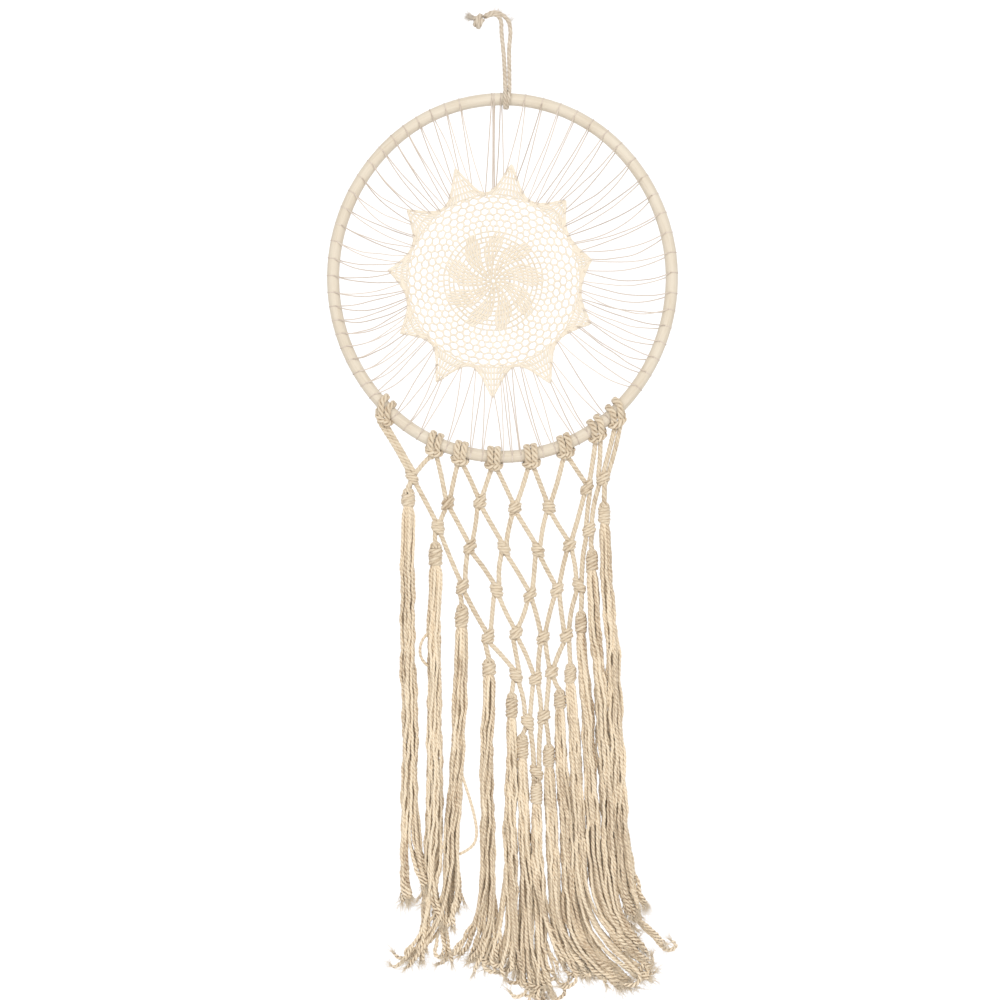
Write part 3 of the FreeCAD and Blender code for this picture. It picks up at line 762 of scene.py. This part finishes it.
def build_tassel(name, finish, index):
    count, _, locks = TASSELS[name]
    node = f"tassel_{name}"
    levels = tassel_levels(node)
    wrap_low, wrap_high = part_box(f"gathering_wrap_{name}")
    wrap_r = (wrap_high.x - wrap_low.x) / 2
    middle = (wrap_low.x + wrap_high.x) / 2
    start, bottom = levels[:, 0].max(), levels[:, 0].min()
    bundle = Bundle()
    whole = draws(8, index)
    swirl = whole.uniform(1.2, 2.8) * whole.choice([-1, 1])
    sways = [(wavelength, size * whole.uniform(0.5, 1.2), whole.uniform(0, 6))
             for wavelength, size in SWAYS]
    places = np.concatenate([np.arange(1, 2 * count, 2) / count - 1, np.linspace(-0.8, 0.8, BACKING)])
    layers = np.resize(LAYERS, count) * np.sqrt(1 - 0.8 * places[:count] ** 2)
    layers = np.append(layers, [BACKING_DEPTH] * BACKING) + whole.normal(0, 0.06, count + BACKING)
    swirls = np.repeat([swirl, 0.0], [count, BACKING])
    count += BACKING
    places = places + whole.normal(0, 0.05, count)
    around = np.arctan2(layers, places)
    far = np.hypot(layers, places)
    order = np.argsort(np.argsort(far * np.cos(around + swirls * 0.92)))
    edges = np.cumsum([lock[0] for lock in locks])
    for yarn in range(count):
        rng = draws(8, index, yarn)
        share = (order[yarn] + 0.5) / count + rng.normal(0, 0.06)
        share = share if locks[0][1] < locks[-1][1] else 1 - share
        _, tip_x, tip_z, spread, curl = locks[min(int(np.searchsorted(edges, share)), len(locks) - 1)]
        turned = around[yarn] + swirls[yarn]
        tip = np.array([
            tip_x + rng.normal(0, spread * 0.9), 9 * far[yarn] * math.sin(turned) * rng.uniform(0.3, 1.0),
            tip_z + rng.normal(0, spread * 0.6),
        ]) * MM
        end = max(bottom + 0.006, tip[2] + rng.uniform(0.042, 0.070) + 0.5 * abs(tip[0] - levels[0, 1]))
        z = np.arange(start, end, -0.004)
        fall = (start - z) / (start - bottom)
        turned = around[yarn] + swirls[yarn] * fall
        drift = far[yarn] * np.cos(turned)
        for wavelength, size in DRIFTS:
            drift = drift + size * rng.uniform(0.3, 1.2) * wave(z, wavelength, rng.uniform(0, 6))
        drift = np.clip(drift, -1.10, 1.10)
        depths = far[yarn] * np.sin(turned) + 0.3 * wave(z, rng.uniform(0.08, 0.2), rng.uniform(0, 6))
        grow = np.clip(fall * 6, 0, 1)
        x = np.interp(z, levels[:, 0], levels[:, 1])
        x = x + (np.interp(z, levels[:, 0], levels[:, 2]) - 0.0002) * drift
        for wavelength, size, phase in sways:
            x = x + grow * size * wave(z, wavelength, phase)
        y = (np.interp(z, levels[:, 0], levels[:, 3]) - 0.0018) * depths
        for wavelength, size in RIPPLES:
            x = x + grow * size * rng.uniform(0.4, 1.2) * wave(z, wavelength, rng.uniform(0, 6))
            y = y + grow * size * rng.uniform(0.4, 1.2) * wave(z, wavelength, rng.uniform(0, 6))
        body = np.stack([x, y, z], axis=1)
        place = np.array([places[yarn], layers[yarn], 0])
        neck = [(middle, 0, height) + place * (wrap_r - 0.0022) * wide for height, wide in (
            (wrap_high.z - wrap_r * 0.75, 0.5), (wrap_high.z - wrap_r * 1.1, 0.8), (wrap_low.z + 0.002, 0.9))]
        body = np.concatenate([neck, body[1:]])
        loose = yarn_end(body, tip, rng.uniform() < curl, rng)
        path = np.concatenate([body, loose])
        path[:, 1] = np.clip(path[:, 1], FORE, BACK)
        tone = rng.normal(0.0, 0.17)
        bundle.rope(path, YARN_D * rng.uniform(0.96, 1.16), rng, plies=2, lay=YARN_LAY, sides=6, step=0.5,
                    tone=tone, taper=([0, 0.012, 0.98, 1], [0.7, 1, 1, 0.7]), loosen=([0, 0.90, 1], [1, 1, 2.8]))
        bundle.fray(path[-1], path[-1] - path[-4], 0.0100, 24, rng, spread=0.42, radius=0.00022)
        bundle.fuzz(path, YARN_D / 2, 14, rng)
        bundle.fuzz(loose, YARN_D / 2, 16, rng, length=0.005)
    bundle.make(f"yarns_{name}", finish, node)


def build_wrap(name, finish, index):
    """A gathering wrap: cord wound round a tassel's neck, under the spread plies of the cord above it."""
    turns = TASSELS[name][1]
    low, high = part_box(f"gathering_wrap_{name}")
    middle = (low.x + high.x) / 2
    wrap_r = (high.x - low.x) / 2
    rng = draws(9, index)
    height = high.z - low.z - wrap_r * 0.25
    pitch = height / turns
    diameter = pitch * 1.04
    t = np.linspace(0, 1, 40 * turns)
    angle = 2 * math.pi * (turns + 0.35) * t + rng.uniform(0, 2 * math.pi)
    radius = (wrap_r + 0.0006 - diameter * 0.36) * (1 + 0.06 * np.sin(angle * 0.37 + rng.uniform(0, 6)))
    radius = radius * (1 - 0.2 * np.abs(2 * t - 1) ** 12)
    tilt = rng.uniform(-0.16, 0.24)
    x = radius * np.cos(angle)
    z = high.z - wrap_r * 0.25 - pitch * 0.45 - (height - pitch * 0.9) * t + tilt * x
    path = np.stack([x + middle, radius * np.sin(angle), z], axis=1)
    from_axis = unit((path - (middle, 0, 0)) * (1, 1, 0))
    wrap = Bundle()
    wrap.rope(path, diameter, rng, sides=7, step=0.2, lay=3.4, lean=from_axis, flat=(0.85, 0.95))
    plies = 9
    for ply in range(plies):
        around = 2 * math.pi * (ply + rng.uniform(-0.2, 0.2)) / plies
        out = np.array([math.cos(around), math.sin(around), 0])
        fan = [np.array([middle, 0, high.z - wrap_r * down]) + out * wrap_r * wide
               for down, wide in ((-0.15, 0.2), (0.05, 0.45), (0.25, 0.74), (0.8, 0.74))]
        wrap.rope(spline(fan), 0.0030, rng, plies=2, lay=YARN_LAY, sides=6, step=0.3)
    wrap.make(f"wrap_{name}", finish, f"gathering_wrap_{name}")


def build_loose_yarns(finish):
    for index, (node, (tassel, length, points)) in enumerate(LOOSE_YARNS.items()):
        path = spline(points)
        yarn = Bundle()
        yarn.rope(path, 0.0030, draws(10, index), plies=2, lay=YARN_LAY, sides=8, step=0.25)
        piece = yarn.make(f"stray_yarn_{index + 1}", finish, node)


# ---------------------------------------------------------------- doily and web
class Doily:
    """The crocheted doily: rounds of chain stitches and posts, in a pinwheel, a mesh and eleven points."""

    EYELETS = [108, 73, 33, -12, -54, -91, -128, -170, -215]   # the pinwheel's open rows, in degrees
    EYELET_RADIUS = 0.034
    SPIRAL = -0.67 / MM              # degrees that they turn for each metre outwards
    PETAL_START, PETAL_TIP = 0.033, 0.0525
    ROUNDS = [0.0028, 0.0070, 0.0114, 0.0159, 0.0204, 0.0249, 0.0294, 0.0339, 0.0384, 0.0430, 0.0480]
    MESH_ROUNDS = [0.0480, 0.0536, 0.0593, 0.0650, 0.0707, 0.0764, 0.0816]
    MESH_POSTS = 52
    MESH_PULL = 0.0008               # how far the posts pull each round of the mesh
    POST_PITCH = 0.0032
    THREAD_R = 0.00034
    THREAD_BROAD = 2.15
    PETAL_POST, OPEN_POST = 1.66, 1.1    # how thick posts are, in the petals and in the open rows
    RIM_INSET = 0.0018                   # of the last whole round, inside the valleys
    RIM_POSTS = 84
    EDGE_STITCHES = 205

    def __init__(self):
        mesh = frame["nodes"]["doily"].data
        front = np.unique(np.round([v.co for v in mesh.vertices if v.co.y < 0], 5), axis=0)
        corners = front[:, [0, 2]]
        self.find_centre(corners)
        offsets = corners - self.centre
        angle = np.degrees(np.arctan2(offsets[:, 1], offsets[:, 0])) % 360
        reach = np.linalg.norm(offsets, axis=1)
        order = np.argsort(angle)
        self.angles, self.reaches = angle[order], reach[order]
        beside = np.maximum(np.roll(self.reaches, 1), np.roll(self.reaches, -1))
        self.tips = np.where(self.reaches > beside)[0]
        self.valley = self.reaches.min()
        tip = self.tips[0]
        self.curve = math.log2((self.reaches[tip] - self.valley) / (self.reaches[tip - 1] - self.valley))
        self.bundle = Bundle()
        self.rim = Bundle()
        self.rng = draws(11)

    def find_centre(self, corners):
        """The eleven valleys lie on a circle: its centre is the doily's. They are the nearest corners."""
        self.centre = corners.mean(axis=0)
        for _ in range(4):
            distance = np.linalg.norm(corners - self.centre, axis=1)
            valleys = corners[np.argsort(distance)[:11]]
            terms = np.column_stack([2 * valleys, np.ones(11)])
            self.centre = np.linalg.lstsq(terms, (valleys ** 2).sum(axis=1), rcond=None)[0][:2]

    def place(self, radius, degrees, lift=0.0):
        angle = np.radians(degrees)
        radius, angle, lift = np.broadcast_arrays(radius, angle, lift)
        return np.stack([self.centre[0] + radius * np.cos(angle), -lift + 0 * angle,
                         self.centre[1] + radius * np.sin(angle)], axis=-1)

    def lift(self, radius, degrees):
        """How far the cloth stands forward: it is nearly flat, and ripples a little towards its edge."""
        ripple = np.sin(np.radians(degrees) * 4 + 0.6) + 0.6 * np.sin(np.radians(degrees) * 7 + 2.0)
        return 0.0006 * ripple * np.clip((np.asarray(radius) - 0.03) / 0.07, 0, 1)

    def tone(self, radius):
        usual = np.interp(radius, [0, 0.045, 0.06, 0.12], [-0.16, -0.08, 0.16, 0.04])
        return float(usual) + self.rng.normal(0, 0.07)

    def strand(self, radius, degrees, lift, tone, closed=False, scale=1.0, bundle=None):
        path = self.place(radius, degrees, lift + self.lift(radius, degrees))
        bundle = bundle or self.bundle
        bundle.thread(path, self.THREAD_R * scale, tone, closed=closed, broad=self.THREAD_BROAD)

    def chain(self, radius, first=0.0, last=360.0, pitch=0.0030, width=0.0005, scale=1.0, pull=0.0, phase=0.0):
        """A round, or part of one, of chain stitches: two threads that weave over each other.

        The posts of an open mesh pull it in where those inside it meet it, and out halfway between them.
        """
        whole = last - first >= 359.9
        arc = math.radians(last - first) * radius
        stitches = max(2, int(round(arc / pitch)))
        steps = stitches * 5
        t = np.arange(steps) / steps if whole else np.linspace(0, 1, steps + 1)
        degrees = first + (last - first) * t
        weave = 2 * math.pi * stitches * t
        wobble = 0.00022 * np.sin(np.radians(degrees) * 9 + radius * 900)
        wobble = wobble - pull * np.cos(np.radians(degrees - phase) * self.MESH_POSTS)
        scale = scale(radius, degrees) if callable(scale) else scale
        for side in (-1, 1):
            self.strand(radius + wobble + side * width * np.sin(weave), degrees,
                        side * 0.0004 * np.cos(weave), self.tone(radius), whole, scale)

    def post(self, inner, outer, degrees_in, degrees_out, tone, scale=1.3):
        """One post, from one round to the next: a thick stitch that is fuller at its middle."""
        t = np.linspace(0, 1, 6)
        radius = inner + (outer - inner) * t
        degrees = degrees_in + (degrees_out - degrees_in) * t
        full = scale * (0.88 + 0.18 * np.sin(math.pi * t) + 0.06 * np.sin(math.pi * 6 * t))
        self.strand(radius, degrees, 0.0002, tone, False, full)

    def petals(self, radius):
        """Each petal's middle direction, half of the space that it has and half of its width, at a radius."""
        turn = self.SPIRAL * (radius - self.EYELET_RADIUS)
        gap = np.degrees(min(0.0028, 0.0007 + radius * 0.10) / radius)
        closing = np.clip((radius - self.PETAL_START) / (self.PETAL_TIP - self.PETAL_START), 0, 1)
        found = []
        for start, end in zip(self.EYELETS, self.EYELETS[1:] + [self.EYELETS[0] - 360]):
            half = (start - end) / 2
            found.append(((start + end) / 2 + turn, half, max(0.0, (half - gap) * (1 - closing))))
        return found

    def fullness(self, radius, degrees):
        """How thick a round's threads are: full across the petals and thin between them."""
        thick = np.full(len(degrees), 0.95)
        for centre, _, petal in self.petals(radius):
            thick[np.abs((degrees - centre + 180) % 360 - 180) <= petal + 1] = 1.4
        return thick

    def pinwheel(self):
        """Nine petals of close posts that turn about the centre, with open rows between them."""
        for inner, outer in zip(self.ROUNDS, self.ROUNDS[1:]):
            self.chain(outer, width=0.0006, scale=self.fullness)
            middle = (inner + outer) / 2
            step = self.SPIRAL * (outer - inner) / 2
            for centre, half, petal in self.petals(middle):
                posts = int(round(2 * math.radians(petal) * middle / self.POST_PITCH))
                for spot in np.linspace(-petal, petal, posts + 1) if posts else [0.0]:
                    at = centre + spot
                    self.post(inner, outer, at - step, at + step, self.tone(middle), self.PETAL_POST)
                open_width = math.radians(half - petal) * middle
                extra = int(open_width / 0.0056)
                for k in range(1, extra + 1):
                    spot = petal + (half - petal) * k / (extra + 0.5)
                    for at in (centre - spot, centre + spot):
                        self.post(inner, outer, at, at, self.tone(middle), self.OPEN_POST)
        self.chain(self.ROUNDS[0], pitch=0.0022, width=0.0006, scale=1.35)

    def mesh(self):
        """Rounds of open cells round the petals. Each round's posts stand halfway between the last's."""
        cell = 360 / self.MESH_POSTS
        for row, (inner, outer) in enumerate(zip(self.MESH_ROUNDS, self.MESH_ROUNDS[1:])):
            phase = cell * row / 2
            self.chain(outer, pitch=0.0032, scale=1.15, pull=self.MESH_PULL, phase=phase)
            for k in range(self.MESH_POSTS):
                degrees = phase + cell * (k + self.rng.normal(0, 0.05))
                self.post(inner, outer - self.MESH_PULL, degrees, degrees, self.tone(outer))

    def edge_reach(self, degrees):
        """How far the edge reaches: a hollow curve from a tip through the CAD's corners to a valley."""
        at = degrees % 360
        apart = (self.angles[self.tips] - at + 180) % 360 - 180
        nearest = np.abs(apart).argmin()
        tip = self.tips[nearest]
        valley = tip - 2 if apart[nearest] > 0 else (tip + 2) % len(self.angles)
        span = abs((self.angles[valley] - self.angles[tip] + 180) % 360 - 180)
        share = min(1.0, abs(apart[nearest]) / span)
        return self.valley + (self.reaches[tip] - self.valley) * (1 - share) ** self.curve

    def points(self):
        """Eleven points: fans of long posts that narrow to a tip, with a double edge."""
        base = self.MESH_ROUNDS[-1]
        valley = self.valley
        self.chain(valley - self.RIM_INSET, scale=1.15)
        for k in range(self.RIM_POSTS):
            degrees = 360 / self.RIM_POSTS * k
            self.post(base, valley - self.RIM_INSET, degrees, degrees, self.tone(base))
        for tip in self.tips:
            angle, reach = self.angles[tip], self.reaches[tip]
            left = (self.angles[(tip + 2) % len(self.angles)] - angle) % 360
            right = (angle - self.angles[tip - 2]) % 360
            rows = max(3, int(round((reach - valley) / 0.0062)))
            levels = np.linspace(valley - self.RIM_INSET, reach - 0.0022, rows + 1)
            for inner, outer in zip(levels, levels[1:]):
                for_low = self.span_at(angle, left, right, inner)
                for_high = self.span_at(angle, left, right, outer)
                width = math.radians(for_low[1] - for_low[0]) * inner
                posts = max(1, int(round(width / 0.0040)))
                for t in np.linspace(0.06, 0.94, posts + 1):
                    self.post(inner, outer, for_low[0] + (for_low[1] - for_low[0]) * t,
                              for_high[0] + (for_high[1] - for_high[0]) * t, self.tone(outer))
                if for_high[1] - for_high[0] > 1.5:
                    self.chain(outer, for_high[0], for_high[1], pitch=0.0029)
        self.edging()

    def span_at(self, angle, left, right, radius):
        """The directions between which a point's two edges lie at a radius."""
        low = [angle - right * s for s in np.linspace(1, 0, 60)]
        high = [angle + left * s for s in np.linspace(1, 0, 60)]
        first = next((a for a in low if self.edge_reach(a) >= radius + 0.0006), angle)
        last = next((a for a in high if self.edge_reach(a) >= radius + 0.0006), angle)
        return first, last

    def edging(self):
        """The doubled edge round all the points: two rounds, each of two threads that weave over each other."""
        degrees = np.arange(0, 360, 0.5)
        reach = np.array([self.edge_reach(d) for d in degrees])
        reach = (np.roll(reach, 1) + reach * 2 + np.roll(reach, -1)) / 4
        count = len(degrees)
        weave = 2 * math.pi * self.EDGE_STITCHES * np.arange(count * 3) / (count * 3)
        fine = np.arange(count * 3) / 3
        smooth = np.interp(fine, np.arange(count + 1), np.append(reach, reach[0]))
        turn = np.interp(fine, np.arange(count + 1), np.append(degrees, 360.0))
        for inset, width in ((0.0004, 0.0005), (0.0017, 0.0004)):
            for side in (-1, 1):
                self.strand(smooth - inset + side * width * np.sin(weave), turn, side * 0.0004 * np.cos(weave),
                            self.tone(0.1), True, 1.1, self.rim)


def build_doily(doily, finish):
    doily.pinwheel()
    doily.mesh()
    doily.points()
    piece = doily.bundle.make("crocheted_doily", finish, "doily")
    edging = doily.rim.make("doily_edging", finish)
    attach(edging, "hoop")


def build_web(finish, hoop, doily_centre):
    """The lacing: 62 turns of thread from the doily's edge over the hoop's front, round it and back."""
    web = Bundle()
    ring = hoop.tube_r + THREAD_D * 0.45
    for index, solid in enumerate(solids("web_thread")):
        rng = draws(12, index)
        from_hoop = np.linalg.norm(solid - hoop.centre, axis=1)
        outer = solid[from_hoop > from_hoop.max() - 0.0012].mean(axis=0)
        degrees = hoop.direction(outer)
        middle, outward = hoop.point(degrees), hoop.outward(degrees)
        along = hoop.outward(degrees + 90)
        centre = np.array([doily_centre[0], 0, doily_centre[1]])
        from_centre = np.linalg.norm(solid - centre, axis=1)
        ends = []
        for back in (-1, 1):
            same = solid[:, 1] * back > 0
            nearest = from_centre[same].min()
            end = solid[same][from_centre[same] < nearest + 0.0008].mean(axis=0)
            ends.append(end + unit(centre - end) * 0.0011)
        turn = []
        for angle in np.radians([8, -30, -65, -100, -140, -172]):
            turn.append(middle - outward * ring * math.sin(angle) + FRONT * ring * math.cos(angle)
                        + along * 0.0005 * math.degrees(angle) / 90)
        turn = np.array(turn)
        # the same thread is painted darker on its front span and lighter on its back span: painted shade and
        # painted light
        web.thread(thread_span(ends[0], turn[0], rng), THREAD_D * 0.6, rng.normal(-0.2, 0.2))
        web.thread(even(np.concatenate([turn[:1], spline(turn), turn[-1:]]), 0.0012), THREAD_D * 0.6,
                   rng.normal(-0.1, 0.15))
        web.thread(thread_span(ends[1], turn[-1], rng), THREAD_D * 0.6, rng.normal(0.15, 0.2))
        for end in ends:
            web.thread(edge_tie(end, centre, rng), THREAD_D * 0.42, rng.normal(0, 0.2), closed=True)
    web.make("web_lacing", finish, "web_thread")


def thread_span(start, end, rng):
    """One span of the lacing. A level one hangs slack, and a steep one is nearly straight."""
    t = np.linspace(0, 1, 26)[:, None]
    flat = abs(end[0] - start[0])
    sag = flat * rng.uniform(0.05, 0.12)
    sideways = rng.normal(0, 0.0009)
    path = start + (end - start) * t
    path = path - UP * sag * 4 * t * (1 - t) * (0.75 + 0.5 * t)
    ripple = 0.0005 * rng.uniform(0.2, 1.0) * np.sin(2 * math.pi * (t * rng.uniform(1.2, 2.4) + rng.uniform()))
    path = path + UP * ripple * np.sin(math.pi * t) * min(1.0, flat / 0.03)
    return path + np.cross(unit(end - start), FRONT) * sideways * np.sin(math.pi * t)


def edge_tie(end, centre, rng):
    """The small loop of thread that holds the lacing to the doily's edge."""
    inward = unit(centre - end) * (1, 0, 1)
    angles = np.linspace(0, 2 * math.pi, 10, endpoint=False)
    across = inward * 0.0011
    ring = end + inward * 0.0007 + np.outer(np.cos(angles), across) + np.outer(np.sin(angles), FRONT) * 0.0009
    return ring + np.outer(np.sin(angles), np.cross(inward, FRONT)) * rng.normal(0, 0.0004)


# ---------------------------------------------------------------- stage
def build_camera():
    data = bpy.data.cameras.new("camera")
    data.lens = LENS
    data.sensor_width = SENSOR
    camera = add_object("camera", data)
    camera.location = CAMERA_PLACE
    camera.rotation_euler = (math.pi / 2, 0, 0)
    bpy.context.scene.camera = camera


def add_plane(name, corners, finish):
    mesh = bpy.data.meshes.new(name)
    mesh.from_pydata(corners, [], [(0, 1, 2, 3)])
    mesh.materials.append(finish.material)
    add_object(name, mesh)


def build_stage():
    """A pale wall that the object clears at every pose, clear from behind, a pale floor and soft light."""
    paint = Finish("wall_paint", 0.9)
    paint.shader.inputs["Base Color"].default_value = (0.95, 0.955, 0.975, 1)
    behind = paint.add("ShaderNodeNewGeometry").outputs["Backfacing"]
    clear = paint.add("ShaderNodeBsdfTransparent").outputs[0]
    mixed = paint.add("ShaderNodeMixShader", {0: behind, 1: paint.shader.outputs[0], 2: clear}).outputs[0]
    paint.tree.links.new(mixed, paint.tree.nodes["Material Output"].inputs["Surface"])
    add_plane("wall", [(x, WALL_Y, z) for x, z in (
        (-2.5, FLOOR_Z), (2.5, FLOOR_Z), (2.5, WALL_TOP), (-2.5, WALL_TOP))], paint)
    floor = Finish("floor_paint", 0.85)
    floor.shader.inputs["Base Color"].default_value = (0.9, 0.895, 0.89, 1)
    add_plane("floor", [(x, y, FLOOR_Z) for x, y in ((-3, -3), (3, -3), (3, 3), (-3, 3))], floor)
    world = bpy.data.worlds.new("studio")
    world.use_nodes = True
    background = world.node_tree.nodes["Background"]
    background.inputs["Color"].default_value = (1.0, 1.0, 1.0, 1)
    background.inputs["Strength"].default_value = WORLD_LIGHT
    bpy.context.scene.world = world
    for name, place, energy in (("key_left", (-2.7, -6.5, 2.0), 194.0), ("key_right", (2.7, -6.5, 2.0), 210.0)):
        light = bpy.data.lights.new(name, "AREA")
        light.size = LIGHT_SIZE
        light.energy = energy
        lamp = add_object(name, light)
        lamp.location = place
        aim = LIGHT_AIM - np.array(place)
        lamp.rotation_euler = (math.atan2(math.hypot(aim[0], aim[1]), -aim[2]), 0,
                               math.atan2(aim[1], aim[0]) - math.pi / 2)
    bpy.context.scene.view_settings.view_transform = "Standard"


def main():
    build_camera()
    rope = cotton("macrame_cotton", linear(142, 112, 78), linear(215, 199, 174), linear(228, 215, 194),
                  crevice_shade=0.42)
    yarn = cotton("tassel_cotton", linear(148, 118, 86), linear(231, 214, 187), linear(239, 224, 200))
    hanging = cotton("hanger_cotton", linear(150, 127, 98), linear(208, 195, 177), linear(225, 214, 198))
    crochet = cotton("crochet_cotton", linear(200, 180, 150), linear(232, 220, 201), linear(241, 233, 220),
                     fibre=1.6, sheen=0.15, crevice_shade=0.1)
    lacing = cotton("lacing_cotton", linear(166, 148, 130), linear(212, 198, 184), linear(230, 220, 208),
                    fibre=1.4, sheen=0.1, crevice_shade=0.1)
    build_hanger(hanging)
    build_loose_yarns(yarn)
    hoop = Hoop()
    ring = frame["nodes"]["hoop_ring"]
    ring.data.materials.clear()
    ring.data.materials.append(rattan("hoop_rattan"))
    build_cow_hitches(rope, hoop)
    build_net_cords(rope)
    build_net_knots(rope)
    for index, name in enumerate(TASSELS):
        build_wrap(name, rope, index)
        build_tassel(name, yarn, index)
    doily = Doily()
    build_web(lacing, hoop, doily.centre)
    build_doily(doily, crochet)
    build_stage()


main()
